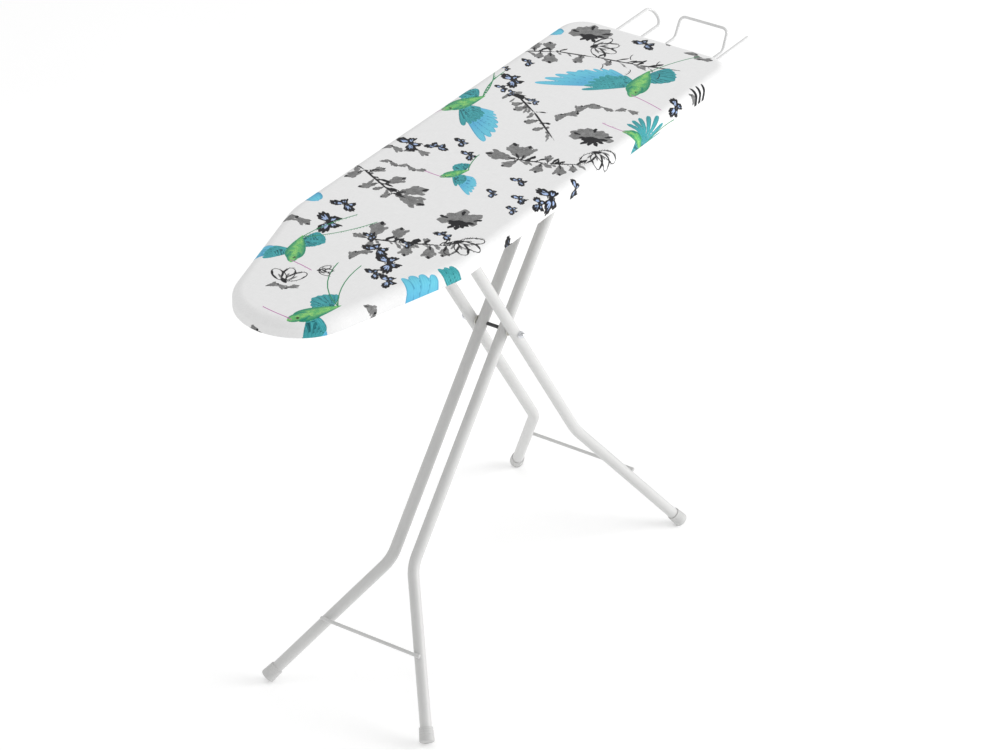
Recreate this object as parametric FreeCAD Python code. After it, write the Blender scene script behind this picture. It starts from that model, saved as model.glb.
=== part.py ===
import FreeCAD, Part
import math
import os

# Folding ironing board, drawn standing open at its working height.
# Millimetres. X runs from the nose (minus) to the iron rest (plus), Z is up from the floor,
# and the board is a mirror image of itself across the plane Y = 0.
# The origin is on the floor, half way along the board together with its iron rest.

V = FreeCAD.Vector

# ---------------------------------------------------------------- overall sizes
board_length = 1109.7          # cover, nose tip to rear edge
board_width = 314.0            # cover, across the parallel part
board_height = 833.0           # floor to the top of the cover
skirt_height = 27.4            # how far the cover comes down the side
nose_to_pivot = 624.1          # nose tip to the leg pivot, along the board
pivot_height = 514.5           # leg pivot above the floor

# ---------------------------------------------------------------- board outline
rear_corner_radius = 48.0
taper_start = 295.0            # nose tip to where the straight sides begin
taper_angle = 15.6             # each side of the nose, degrees
shoulder_radius = 160.0        # easing between the straight side and the taper

# ---------------------------------------------------------------- cover and pad
cloth = 1.0                    # cover thickness
soft_gap = 0.3                 # air between one soft layer and the next
pad_thickness = 7.0
cover_edge_radius = 11.0       # rounding of the cover over the edge
hem_width = 32.0               # cloth turned in under the board
elastic_diameter = 1.8
elastic_gap = 0.25             # hem to elastic

# ---------------------------------------------------------------- steel board
panel_thickness = 1.2
rim_thickness = 1.5
rim_lip = 9.0                  # lower flange of the rim, turned inwards
rim_gap = 0.6                  # rim to cloth
slot_length = 36.0             # steam slots of the panel
slot_width = 10.0
slot_pitch_x = 50.0
slot_pitch_y = 26.0
slot_margin = 15.0             # slots stay this far inside the rim
slot_first = 34.0              # rear edge to the middle of the first slot
rail_offset = 66.0             # centre of a rail from the middle
rail_width = 16.0
rail_height = 12.0
rail_thickness = 1.2
rail_nose_gap = 64.0           # nose tip to the front of the rails
rail_rear_gap = 18.0           # rear edge to the end of the rails
strap_width = 30.0
strap_thickness = 2.0
strap_corner = 4.0
bearer_width = 24.0            # channels that carry the iron rest
bearer_thickness = 1.5
bearer_reach = 16.5            # past the rest wire
bearer_positions = (62.0, 136.0)   # from the rear edge

# ---------------------------------------------------------------- legs
tube_diameter = 19.0
tube_wall = 1.2
inner_tube_gap = 21.6          # free space between the two inner tubes
pivot_washer_thickness = 1.3
pivot_side_play = 0.1          # each side of the pivot washer
front_leg_angle = 50.46        # to the floor; inner pair, feet towards the nose
rear_leg_angle = 55.18         # to the floor; outer pair, feet towards the rear
front_bend_distance = 407.0    # pivot to the bend, along the tube
rear_bend_distance = 349.8
front_foot_spread = 154.2      # middle plane to the foot
rear_foot_spread = 167.9
leg_bend_radius = 70.0
tube_top_margin = 12.0         # tube past its top rod
front_brace_distance = 536.1   # pivot to the brace, along the tube
rear_brace_distance = 481.2
brace_diameter = 6.0
brace_end_inset = 4.0          # end of the brace inside the outer side of the tube
weld_size = 3.4
weld_sink = 0.5                # weld bead into the bar
brace_end_rounding = 1.2
rod_chamfer = 0.8
brace_weld = 4.5               # half length of a brace's weld bead
rod_weld = 5.0                 # half length of a top rod's weld bead

# ---------------------------------------------------------------- feet
foot_wall = 2.9                # at the floor end
foot_rim_wall = 1.9            # at the open end
foot_length = 21.0             # part of the cap that holds the tube
foot_edge = 3.0                # rounding of the flat end, and its thickness
foot_ring_depth = 0.3
foot_ring_half_width = 0.8
foot_ring_count = 3

# ---------------------------------------------------------------- hinges and pivot
hinge_drop = 44.0              # top of the cover to both hinge lines
top_rod_diameter = 9.0
top_rod_end = 8.0              # front top rod past its brackets
rear_rod_end = 3.0             # rear top rod past its tubes
push_nut_gap = 0.4             # bracket to push nut
push_nut_sheet = 1.6
push_nut_rim = 4.0             # push nut past the rod
push_nut_hub = 1.6             # wall and height of its hub
bracket_offset = 53.0          # hinge bracket plate from the middle plane
bracket_plate = 2.0
bracket_eye_radius = 9.0
bracket_base = 34.0
running_clearance = 0.05       # radial
pivot_rod_diameter = 6.0
cap_nut_flats = 10.0
cap_nut_base = 4.6
cap_nut_dome = 0.97            # dome to the width across flats
cap_nut_bite = 1.0             # rod into the dome
washer_radius = 8.0
rivet_diameter = 4.0
rivet_head = 7.2
rivet_head_height = 1.6
rivet_dome = 0.8               # rounding, part of the head height
rivet_tail = 6.0               # closing head, across
rivet_tail_height = 1.2

# ---------------------------------------------------------------- height lock
guide_rod_diameter = 8.0
guide_drop = 31.5              # top of the cover to the guide rod
guide_nose_gap = 52.0          # nose tip to the front end of the guide rod
guide_past_slider = 70.0       # guide rod beyond the slider, towards the rear
guide_plate = 2.5              # bracket sheet
guide_plate_shift = 6.0        # bracket plate from the middle of its strap
guide_flange_reach = 11.0      # bracket flange past the middle of its strap
guide_flange_half = 13.0       # half width of the flange
guide_plate_half = 9.0         # half width of the upright plate
guide_rivet_y = 9.0
guide_rivet_shift = 2.5
strap_inset = 4.0              # strap edge past the end of the guide rod
rod_head_extra = 1.8           # upset head over the guide rod
rod_head_length = 2.4
hinge_rivet_x = 10.0
slider_length = 36.0
slider_width = 24.0
slider_below = 9.0             # slider under the rod it carries
slider_edge = 3.0
lever_thickness = 3.0
lever_height = 16.0
lever_arm_height = 14.0
lever_arm_drop = 13.0          # how far the arm sits below the lock plate
lever_reach = 108.0            # end of the lever from the middle plane
lever_pin_offset = 16.0        # pin from the middle plane
lever_pin_gap = 14.0           # slider face to the pin
lever_pin_diameter = 4.0
lever_eye_wall = 2.0
lever_tilt = 10.0              # tilt that makes the plate bite the guide rod
lock_hole_clearance = 1.3      # on the diameter of the lock plate's hole
lug_thickness = 4.0
lug_play = 0.3                 # lug to lever
lug_half = 5.0                 # half width and end radius of a lug
lug_root = 6.0                 # lug into the block
pin_head = 1.6                 # height of the pin's head
pin_head_rim = 1.5
pin_tail = 1.0                 # height and rim of the upset end
pin_slack = 0.8
lever_cut_back = 4.0           # lever end inside its grip
lever_plate_top = -16.0        # y where the lock plate's upper edge slopes down
lever_arm_top = -30.0          # y where that slope meets the arm
lever_arm_low = -24.0          # the same at the lower edge
lever_plate_low = -13.0
grip_length = 36.0
grip_wall = 3.2
spring_wire = 1.2
spring_coils = 5.0
spring_fit = 1.0               # spring round the guide rod
spring_gap = 0.6               # spring to the lock plate
spring_seat = 0.15             # spring to the slider

# ---------------------------------------------------------------- iron rest
wire_diameter = 5.0
rest_outer_y = 97.5
rest_inner_y = 74.2
rest_inner_drop = 24.2         # inner wires below the outer ones
rest_mid_y = 46.8
rest_mid_drop = 44.2           # middle wires below the outer ones
rest_wing_reach = 155.0        # rear edge to the end of the wings
rest_stop_base = 151.0         # rear edge to the foot of the stop
rest_stop_lean = 16.5          # stop leans back
rest_stop_rise = 34.7
rest_stop_y = 45.6
rest_bend_radius = 10.0
rest_return = 34.0             # rear edge to the hidden bends, under the board
rest_start = 150.0             # rear edge to the clamped wire ends
rest_tie = 16.0                # rear edge to the tie wire, under the board
tie_bend = 8.0
tie_touch = 0.97               # centre distance of two welded wires, in wire diameters
tie_low_lean = 0.32            # the tie passes under the middle wire at this slope
tie_low_drop = 0.98
tie_past = 3.0                 # end of the tie past the outer wire
clip_width = 14.0
clip_sheet = 1.5
clip_ear = 7.5
screw_diameter = 3.5
screw_head = 7.0
screw_head_height = 2.2
screw_rounding = 1.3
screw_cross = 3.6              # length of the cross recess
screw_cross_width = 0.8
screw_cross_depth = 1.0
screw_tail = 1.6               # screw past the bearer

# ---------------------------------------------------------------- worked out from the above
overall_length = board_length + rest_stop_base + rest_stop_lean + wire_diameter / 2.0
x_nose = -overall_length / 2.0
x_rear = x_nose + board_length
x_pivot = x_nose + nose_to_pivot
tube_r = tube_diameter / 2.0
rod_r = top_rod_diameter / 2.0
wire_r = wire_diameter / 2.0
brace_r = brace_diameter / 2.0
front_y = inner_tube_gap / 2.0 + tube_r
rear_y = front_y + tube_diameter + pivot_washer_thickness + 2.0 * pivot_side_play
hinge_z = board_height - hinge_drop
fa = math.radians(front_leg_angle)
ra = math.radians(rear_leg_angle)
arm_angle = (fa + ra) / 2.0
arm = (hinge_z - pivot_height) / math.sin(arm_angle)
half_base = arm * math.cos(arm_angle)
x_slide = x_pivot - half_base          # rear legs' top rod, carried by the slider
x_hinge = x_pivot + half_base          # front legs' top rod, in the fixed brackets
tube_top = arm * math.cos((ra - fa) / 2.0) + tube_top_margin
foot_r = tube_r + foot_wall
z_skirt = board_height - skirt_height
z_pad_top = board_height - cloth - soft_gap
z_pad = z_pad_top - pad_thickness
z_panel_top = z_pad - soft_gap
z_panel = z_panel_top - panel_thickness
z_rim = z_skirt + cloth + rim_gap
rim_inset = cloth + rim_gap
z_rail = z_panel - rail_height
z_strap = z_rail - strap_thickness
z_plate = z_strap - bracket_plate
z_guide = board_height - guide_drop
z_wire_top = z_skirt - soft_gap
z_outer = z_wire_top - wire_r
z_inner = z_outer - rest_inner_drop
z_mid = z_outer - rest_mid_drop


def save(name, shape):
    """Write one sub-part, first making sure it is sound."""
    if not shape.isValid():
        shape.fix(0.001, 0.001, 0.001)
    if shape.ShapeType == "Compound" and len(shape.Solids) == 1:
        shape = shape.Solids[0]
    os.makedirs("parts", exist_ok=True)
    shape.exportStep("parts/" + name + ".step")
    print(name, shape.ShapeType, len(shape.Solids), round(shape.Volume, 1), shape.isValid())
    return shape


def box(x0, x1, y0, y1, z0, z1):
    """Block between two opposite corners."""
    return Part.makeBox(x1 - x0, y1 - y0, z1 - z0, V(x0, y0, z0))


def rod(start, end, radius):
    """Round bar from start to end."""
    d = end - start
    return Part.makeCylinder(radius, d.Length, start, d)


def mirror_y(shape):
    """The same piece on the other side of the board."""
    return shape.mirror(V(0, 0, 0), V(0, 1, 0))


def rounded_edges(points, radii):
    """Straight runs through the points, each inner corner bent to its radius."""
    edges = []
    last = points[0]
    for i in range(1, len(points) - 1):
        p = points[i]
        a = points[i - 1] - p
        b = points[i + 1] - p
        a.normalize()
        b.normalize()
        half = a.getAngle(b) / 2.0
        r = radii[i - 1]
        t = r / math.tan(half)
        mid = a + b
        mid.normalize()
        centre = p + mid * (r / math.sin(half))
        p1 = p + a * t
        p2 = p + b * t
        pm = centre - mid * r
        if (p1 - last).Length > 1e-4:
            edges.append(Part.LineSegment(last, p1).toShape())
        edges.append(Part.Arc(p1, pm, p2).toShape())
        last = p2
    if (points[-1] - last).Length > 1e-4:
        edges.append(Part.LineSegment(last, points[-1]).toShape())
    return edges


def sweep(edges, radius):
    """Round bar along a run of joined edges."""
    path = Part.Wire(Part.__sortEdges__(edges))
    first = path.OrderedEdges[0]
    start = first.valueAt(first.FirstParameter)
    tangent = first.tangentAt(first.FirstParameter)
    if first.Orientation == "Reversed":
        start = first.valueAt(first.LastParameter)
        tangent = first.tangentAt(first.LastParameter) * -1.0
    ring = Part.Wire(Part.makeCircle(radius, start, tangent))
    return path.makePipeShell([ring], True, False)


def outline(inset):
    """Plan outline of the board, moved inwards by inset, as a closed flat wire at Z = 0."""
    ta = math.radians(taper_angle)
    w = board_width / 2.0 - inset
    xr = x_rear - inset
    rr = rear_corner_radius - inset
    # the taper line, moved inwards square to itself
    xs = x_nose + taper_start
    xv = xs + inset * (1.0 - math.cos(ta)) / math.sin(ta)
    # nose circle that touches both tapers and the tip
    w0 = board_width / 2.0
    r0 = (w0 - taper_start * math.tan(ta)) * math.cos(ta) / (1.0 - math.sin(ta))
    xc = x_nose + r0
    rn = r0 - inset
    nose_a = V(xc - rn * math.sin(ta), rn * math.cos(ta), 0)
    nose_b = V(nose_a.x, -nose_a.y, 0)
    shoulder = shoulder_radius - inset
    ts = shoulder * math.tan(ta / 2.0)
    s1 = V(xv + ts, w, 0)
    s2 = V(xv - ts * math.cos(ta), w - ts * math.sin(ta), 0)
    sc = V(xv + ts, w - shoulder, 0)
    sm = sc + V(-math.sin(ta / 2.0), math.cos(ta / 2.0), 0) * shoulder
    c1 = V(xr - rr, w, 0)
    c2 = V(xr, w - rr, 0)
    cm = V(xr - rr, w - rr, 0) + V(1, 1, 0) * (rr / math.sqrt(2.0))

    def m(p):
        return V(p.x, -p.y, 0)

    edges = [
        Part.Arc(nose_b, V(xc - rn, 0, 0), nose_a).toShape(),
        Part.LineSegment(nose_a, s2).toShape(),
        Part.Arc(s2, sm, s1).toShape(),
        Part.LineSegment(s1, c1).toShape(),
        Part.Arc(c1, cm, c2).toShape(),
        Part.LineSegment(c2, m(c2)).toShape(),
        Part.Arc(m(c2), m(cm), m(c1)).toShape(),
        Part.LineSegment(m(c1), m(s1)).toShape(),
        Part.Arc(m(s1), m(sm), m(s2)).toShape(),
        Part.LineSegment(m(s2), nose_b).toShape(),
    ]
    return Part.Wire(edges)


def flat_edges(body, z):
    """Edges that lie level at height z."""
    return [e for e in body.Edges if abs(e.BoundBox.ZMin - z) < 1e-4 and abs(e.BoundBox.ZMax - z) < 1e-4]


def slab(inset, z0, z1, edge_radius=0.0):
    """Board-shaped plate between two heights, its upper edge rounded when asked."""
    face = Part.Face(outline(inset))
    face.translate(V(0, 0, z0))
    body = face.extrude(V(0, 0, z1 - z0))
    if edge_radius > 0.0:
        body = body.makeFillet(edge_radius, flat_edges(body, z1))
    return body


# ---------------------------------------------------------------- rivets and their holes
strap_nose_x = x_nose + guide_nose_gap + strap_width / 2.0 - strap_inset
strap_mid_x = x_slide + guide_past_slider - strap_width / 2.0 + strap_inset
strap_x = (strap_nose_x, strap_mid_x, x_hinge)
hinge_rivet_at = [(x_hinge + sx * hinge_rivet_x, sy * rail_offset) for sx in (-1, 1) for sy in (-1, 1)]
strap_rivet_at = [(x, sy * rail_offset) for x in strap_x[:2] for sy in (-1, 1)]
guide_rivet_x = (strap_nose_x + guide_rivet_shift, strap_mid_x - guide_rivet_shift)
guide_rivet_at = [(x, sy * guide_rivet_y) for x in guide_rivet_x for sy in (-1, 1)]


def rivet_holes(positions):
    """Holes for a set of rivets, tall enough for the whole stack."""
    cuts = [rod(V(x, y, z_plate - 5.0), V(x, y, z_rail + 3.0), rivet_diameter / 2.0) for x, y in positions]
    return Part.makeCompound(cuts)


def rivets(positions, z0, z1):
    """Domed rivets clamping a stack between z0 and z1."""
    out = []
    for x, y in positions:
        shank = rod(V(x, y, z0), V(x, y, z1), rivet_diameter / 2.0)
        low = Part.makeCylinder(rivet_head / 2.0, rivet_head_height, V(x, y, z0 - rivet_head_height))
        low = low.makeFillet(rivet_head_height * rivet_dome, flat_edges(low, z0 - rivet_head_height))
        high = Part.makeCylinder(rivet_tail / 2.0, rivet_tail_height, V(x, y, z1))
        out.append(shank.fuse(low).fuse(high).removeSplitter())
    return Part.makeCompound(out)


# ---------------------------------------------------------------- soft layers
def make_cover():
    """Fitted cotton cover: top, rounded edge, skirt and the hem turned in underneath."""
    outer = slab(0.0, z_skirt, board_height, cover_edge_radius)
    inner = slab(cloth, z_skirt + cloth, board_height - cloth, cover_edge_radius - cloth)
    opening = slab(hem_width, z_skirt - 1.0, z_skirt + cloth + 1.0)
    return outer.cut(inner).cut(opening)


def make_pad():
    """Foam pad under the cover."""
    radius = cover_edge_radius - cloth - soft_gap
    low = min(z_pad - 1.0, z_pad_top - radius - 1.0)
    body = slab(cloth + soft_gap, low, z_pad_top, radius)
    return body.cut(slab(0.0, low - 1.0, z_pad))


def make_elastic():
    """Elastic drawn round the inner edge of the hem."""
    r = elastic_diameter / 2.0
    path = outline(hem_width + r + elastic_gap)
    path.translate(V(0, 0, z_skirt + r))
    first = path.OrderedEdges[1]
    start = first.valueAt(first.FirstParameter)
    ring = Part.Wire(Part.makeCircle(r, start, first.tangentAt(first.FirstParameter)))
    edges = list(path.OrderedEdges)
    path = Part.Wire(edges[1:] + edges[:1])
    return path.makePipeShell([ring], True, False)


# ---------------------------------------------------------------- steel board
def make_panel():
    """Steel top with staggered steam slots."""
    body = slab(rim_inset, z_panel, z_panel_top)
    limit = rim_inset + slot_margin
    cuts = []
    rows = int(board_width / 2.0 / slot_pitch_y)
    cols = int(board_length / slot_pitch_x) + 2
    r = slot_width / 2.0
    inner = Part.Face(outline(limit))
    for j in range(-rows, rows + 1):
        y = j * slot_pitch_y
        shift = slot_pitch_x / 2.0 if j % 2 else 0.0
        span = inner.common(Part.LineSegment(V(x_nose, abs(y) + r, 0), V(x_rear, abs(y) + r, 0)).toShape())
        if not span.Edges:
            continue
        x_lo = span.BoundBox.XMin
        x_hi = span.BoundBox.XMax
        for i in range(cols):
            x = x_rear - slot_first - shift - i * slot_pitch_x
            a = x - slot_length / 2.0
            b = x + slot_length / 2.0
            if a < x_lo or b > x_hi:
                continue
            mid = box(a + r, b - r, y - r, y + r, z_panel - 1.0, z_panel_top + 1.0)
            e1 = Part.makeCylinder(r, panel_thickness + 2.0, V(a + r, y, z_panel - 1.0))
            e2 = Part.makeCylinder(r, panel_thickness + 2.0, V(b - r, y, z_panel - 1.0))
            cuts.append(mid.fuse([e1, e2]).removeSplitter())
    return body.cut(Part.makeCompound(cuts))


def make_rim():
    """Rim strip round the board with its lower lip turned inwards."""
    wall = slab(rim_inset, z_rim, z_panel).cut(slab(rim_inset + rim_thickness, z_rim - 1.0, z_panel + 1.0))
    lip = slab(rim_inset, z_rim, z_rim + rim_thickness)
    lip = lip.cut(slab(rim_inset + rim_lip, z_rim - 1.0, z_rim + rim_thickness + 1.0))
    return wall.fuse(lip).removeSplitter()


def make_rail(side):
    """Lengthwise channel under the panel."""
    x0 = x_nose + rail_nose_gap
    x1 = x_rear - rail_rear_gap
    y = side * rail_offset
    w = rail_width / 2.0
    body = box(x0, x1, y - w, y + w, z_rail, z_panel)
    t = rail_thickness
    body = body.cut(box(x0 - 1, x1 + 1, y - w + t, y + w - t, z_rail + t, z_panel + 1))
    return body.cut(rivet_holes(hinge_rivet_at + strap_rivet_at))


def make_strap(x):
    """Flat cross strap riveted under both rails."""
    w = strap_width / 2.0
    y = rail_offset + rail_width / 2.0
    body = box(x - w, x + w, -y, y, z_strap, z_rail)
    corners = [e for e in body.Edges if abs(e.BoundBox.ZLength - strap_thickness) < 1e-6]
    body = body.makeFillet(strap_corner, corners)
    return body.cut(rivet_holes(hinge_rivet_at + strap_rivet_at + guide_rivet_at))


def make_bearer(gap):
    """Cross channel that the iron rest is clamped to."""
    x = x_rear - gap
    w = bearer_width / 2.0
    y = rest_outer_y + bearer_reach
    t = bearer_thickness
    body = box(x - w, x + w, -y, y, z_wire_top, z_rail)
    body = body.cut(box(x - w + t, x + w - t, -y - 1, y + 1, z_wire_top + t, z_rail + 1))
    for cy in screw_ys():
        hole = rod(V(x, cy, z_wire_top - 1), V(x, cy, z_wire_top + 3), screw_diameter / 2.0)
        body = body.cut(hole)
    return body


# ---------------------------------------------------------------- hinge and guide brackets
def make_hinge_bracket(side):
    """Riveted angle bracket with the eye the front legs turn in."""
    w = bracket_base / 2.0
    y0 = bracket_offset
    y1 = bracket_offset + bracket_plate
    y2 = rail_offset + rail_width / 2.0
    flange = box(x_hinge - w, x_hinge + w, y0, y2, z_plate, z_strap)
    pts = [
        V(x_hinge - w, y0, z_plate),
        V(x_hinge - bracket_eye_radius, y0, hinge_z),
        V(x_hinge + bracket_eye_radius, y0, hinge_z),
        V(x_hinge + w, y0, z_plate),
    ]
    face = Part.Face(Part.makePolygon(pts + pts[:1]))
    plate = face.extrude(V(0, bracket_plate, 0))
    eye = rod(V(x_hinge, y0, hinge_z), V(x_hinge, y1, hinge_z), bracket_eye_radius)
    body = flange.fuse(plate).fuse(eye).removeSplitter()
    bore = rod(V(x_hinge, y0 - 1, hinge_z), V(x_hinge, y1 + 1, hinge_z), rod_r + running_clearance)
    body = body.cut(bore).cut(rivet_holes(hinge_rivet_at))
    if side < 0:
        body = mirror_y(body)
    return body


def guide_plate_x():
    """Faces of the two guide rod brackets that the rod heads bear on."""
    return strap_nose_x - guide_plate_shift, strap_mid_x + guide_plate_shift


def make_guide_bracket(which):
    """Angle bracket that holds one end of the guide rod."""
    xc = (strap_nose_x, strap_mid_x)[which]
    xp = guide_plate_x()[which]
    sign = (-1.0, 1.0)[which]
    w = guide_flange_half
    h = guide_plate_half
    x_in = xp - sign * guide_plate
    x_far = xc - sign * guide_flange_reach
    lo = min(x_far, xp)
    hi = max(x_far, xp)
    flange = box(lo, hi, -w, w, z_plate, z_strap)
    plate = box(min(x_in, xp), max(x_in, xp), -h, h, z_guide, z_strap)
    eye = rod(V(x_in, 0, z_guide), V(xp, 0, z_guide), h)
    body = flange.fuse(plate).fuse(eye).removeSplitter()
    body = body.cut(box(lo - 20, hi + 20, -w, w, z_strap, z_strap + 20))
    bore = rod(V(x_in - sign, 0, z_guide), V(xp + sign, 0, z_guide), guide_rod_diameter / 2.0)
    return body.cut(bore).cut(rivet_holes(guide_rivet_at))


def make_guide_rod():
    """Round steel rod with upset heads, along the middle under the board."""
    a, b = guide_plate_x()
    r = guide_rod_diameter / 2.0
    body = rod(V(a, 0, z_guide), V(b, 0, z_guide), r)
    for x0, x1 in ((a - rod_head_length, a), (b, b + rod_head_length)):
        body = body.fuse(rod(V(x0, 0, z_guide), V(x1, 0, z_guide), r + rod_head_extra))
    return body.removeSplitter()


# ---------------------------------------------------------------- legs
def leg_point(which, s, y):
    """Point of a leg frame, s along the tube below the pivot and y sideways."""
    if which == "front":
        return V(x_pivot - s * math.cos(fa), y, pivot_height - s * math.sin(fa))
    return V(x_pivot + s * math.cos(ra), y, pivot_height - s * math.sin(ra))


def foot_distance(angle, y0, sb, spread):
    """Pivot to the end of the tube, along the tube, with the round edge of its cap on the floor."""
    s = pivot_height / math.sin(angle)
    for step in range(8):
        low = V((s - sb) * math.cos(angle), spread - y0, (s - sb) * math.sin(angle))
        lean = math.hypot(low.x, low.y) / low.Length
        s = (pivot_height - foot_edge - (foot_r - foot_edge) * lean) / math.sin(angle)
    return s


def leg_sizes(which):
    """Tube offset, bend distance, foot spread and foot distance of a leg frame."""
    if which == "front":
        angle = fa
        y0 = front_y
        sb = front_bend_distance
        spread = front_foot_spread
    else:
        angle = ra
        y0 = rear_y
        sb = rear_bend_distance
        spread = rear_foot_spread
    return y0, sb, spread, foot_distance(angle, y0, sb, spread)


def leg_edges(which, side):
    """Centre line of one leg tube from its top end to the middle of its foot."""
    y0, sb, spread, s_foot = leg_sizes(which)
    pts = [
        leg_point(which, -tube_top, side * y0),
        leg_point(which, sb, side * y0),
        leg_point(which, s_foot, side * spread),
    ]
    return rounded_edges(pts, [leg_bend_radius])


def tube_blank(which, side):
    """Leg tube as a solid bar, used to shape what is welded to it."""
    return sweep(leg_edges(which, side), tube_r)


def make_leg(which, side):
    """One bent leg tube with its pivot hole."""
    body = sweep(leg_edges(which, side), tube_r).cut(sweep(leg_edges(which, side), tube_r - tube_wall))
    extra = running_clearance if which == "front" else 0.0
    y0 = leg_sizes(which)[0]
    a = V(x_pivot, side * (y0 - tube_r - 1.0), pivot_height)
    b = V(x_pivot, side * (y0 + tube_r + 1.0), pivot_height)
    return body.cut(rod(a, b, pivot_rod_diameter / 2.0 + extra))


def make_top_rod(which):
    """Cross rod welded along the top ends of a pair of legs, with its weld beads."""
    if which == "front":
        x = x_hinge
        end = bracket_offset + bracket_plate + top_rod_end
        lean = V(math.sin(fa), 0, -math.cos(fa))
    else:
        x = x_slide
        end = rear_y + tube_r + rear_rod_end
        lean = V(math.sin(ra), 0, math.cos(ra))
    y0 = leg_sizes(which)[0]
    body = rod(V(x, -end, hinge_z), V(x, end, hinge_z), rod_r)
    rims = [e for e in body.Edges if e.BoundBox.YLength < 1e-6]
    body = body.makeChamfer(rod_chamfer, rims)
    for side in (-1, 1):
        c = V(x, side * y0, hinge_z) + lean * (rod_r - weld_sink)
        bead = rod(c - V(0, rod_weld, 0), c + V(0, rod_weld, 0), weld_size)
        body = body.fuse(bead)
    for side in (-1, 1):
        body = body.cut(tube_blank(which, side))
    return keep_largest(body)


def keep_largest(shape):
    """Main body of a shape that has been trimmed."""
    solids = sorted(shape.Solids, key=lambda s: s.Volume)
    return solids[-1].removeSplitter()


def brace_ends(which):
    """Half length of a brace and its centre line, on the outer face of the leg frame."""
    y0, sb, spread, s_foot = leg_sizes(which)
    s = front_brace_distance if which == "front" else rear_brace_distance
    y = y0 + (spread - y0) * (s - sb) / (s_foot - sb)
    if which == "front":
        n = V(-math.sin(fa), 0, math.cos(fa))
    else:
        n = V(math.sin(ra), 0, math.cos(ra))
    return s, y, n


def make_brace(which):
    """Round bar welded across the outer face of a pair of legs."""
    s, y, n = brace_ends(which)
    off = tube_r + brace_r
    end = y + tube_r - brace_end_inset
    a = leg_point(which, s, -end) + n * off
    b = leg_point(which, s, end) + n * off
    body = rod(a, b, brace_r)
    rims = [e for e in body.Edges if e.BoundBox.YLength < 1e-6]
    body = body.makeFillet(brace_end_rounding, rims)
    for side in (-1, 1):
        c = leg_point(which, s, side * y) + n * (off - brace_r + weld_sink)
        bead = rod(c - V(0, brace_weld, 0), c + V(0, brace_weld, 0), weld_size)
        body = body.fuse(bead)
    for side in (-1, 1):
        body = body.cut(tube_blank(which, side))
    return keep_largest(body)


def make_foot(which, side):
    """Ringed plastic cap with a flat end, pushed over the end of a leg tube."""
    y0, sb, spread, s_foot = leg_sizes(which)
    end = leg_point(which, s_foot, side * spread)
    up = leg_point(which, sb, side * y0) - end
    up.normalize()
    r = foot_r
    lip = tube_r + foot_rim_wall
    pts = [V(0, 0, 0), V(tube_r, 0, 0), V(tube_r, 0, foot_length), V(lip, 0, foot_length)]
    step = foot_length / (foot_ring_count + 2.0)
    for i in range(foot_ring_count):
        z = foot_length - step * (i + 1.0)
        rr = lip + (r - lip) * (foot_length - z) / foot_length
        pts.append(V(rr, 0, z + foot_ring_half_width))
        pts.append(V(rr - foot_ring_depth, 0, z + foot_ring_half_width / 2.0))
        pts.append(V(rr - foot_ring_depth, 0, z - foot_ring_half_width / 2.0))
        pts.append(V(rr, 0, z - foot_ring_half_width))
    pts.append(V(r, 0, 0))
    edges = [Part.LineSegment(pts[i], pts[i + 1]).toShape() for i in range(len(pts) - 1)]
    e = foot_edge
    turn = e / math.sqrt(2.0)
    edges.append(Part.Arc(V(r, 0, 0), V(r - e + turn, 0, -turn), V(r - e, 0, -e)).toShape())
    edges.append(Part.LineSegment(V(r - e, 0, -e), V(0, 0, -e)).toShape())
    edges.append(Part.LineSegment(V(0, 0, -e), V(0, 0, 0)).toShape())
    body = Part.Face(Part.Wire(edges)).revolve(V(0, 0, 0), V(0, 0, 1), 360)
    body.Placement = FreeCAD.Placement(end, FreeCAD.Rotation(V(0, 0, 1), up))
    return body


# ---------------------------------------------------------------- scissor pivot
def make_pivot_rod():
    """Rod through all four tubes."""
    y = rear_y + tube_r + cap_nut_base + cap_nut_bite
    return rod(V(x_pivot, -y, pivot_height), V(x_pivot, y, pivot_height), pivot_rod_diameter / 2.0)


def make_cap_nuts():
    """Domed nuts on both ends of the pivot rod."""
    out = []
    af = cap_nut_flats / 2.0
    rc = af / math.cos(math.pi / 6.0)
    for side in (-1, 1):
        y = rear_y + tube_r
        pts = [V(rc * math.cos(i * math.pi / 3.0), y, rc * math.sin(i * math.pi / 3.0)) for i in range(7)]
        hexa = Part.Face(Part.makePolygon(pts)).extrude(V(0, cap_nut_base, 0))
        ball = Part.makeSphere(af * cap_nut_dome, V(0, y + cap_nut_base, 0))
        half = box(-20, 20, y + cap_nut_base, y + 30, -20, 20)
        nut = hexa.fuse(ball.common(half)).removeSplitter()
        nut = nut.cut(rod(V(0, y - 1, 0), V(0, y + cap_nut_base + cap_nut_bite, 0), pivot_rod_diameter / 2.0))
        if side < 0:
            nut = mirror_y(nut)
        nut.translate(V(x_pivot, 0, pivot_height))
        out.append(nut)
    return Part.makeCompound(out)


def make_pivot_washers():
    """Nylon washers between the inner and outer tubes."""
    out = []
    for side in (-1, 1):
        y = side * (front_y + tube_r + pivot_side_play)
        y2 = side * (front_y + tube_r + pivot_side_play + pivot_washer_thickness)
        ring = rod(V(x_pivot, y, pivot_height), V(x_pivot, y2, pivot_height), washer_radius)
        out.append(ring.cut(rod(V(x_pivot, y - side, pivot_height), V(x_pivot, y2 + side, pivot_height),
                                pivot_rod_diameter / 2.0)))
    return Part.makeCompound(out)


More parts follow.
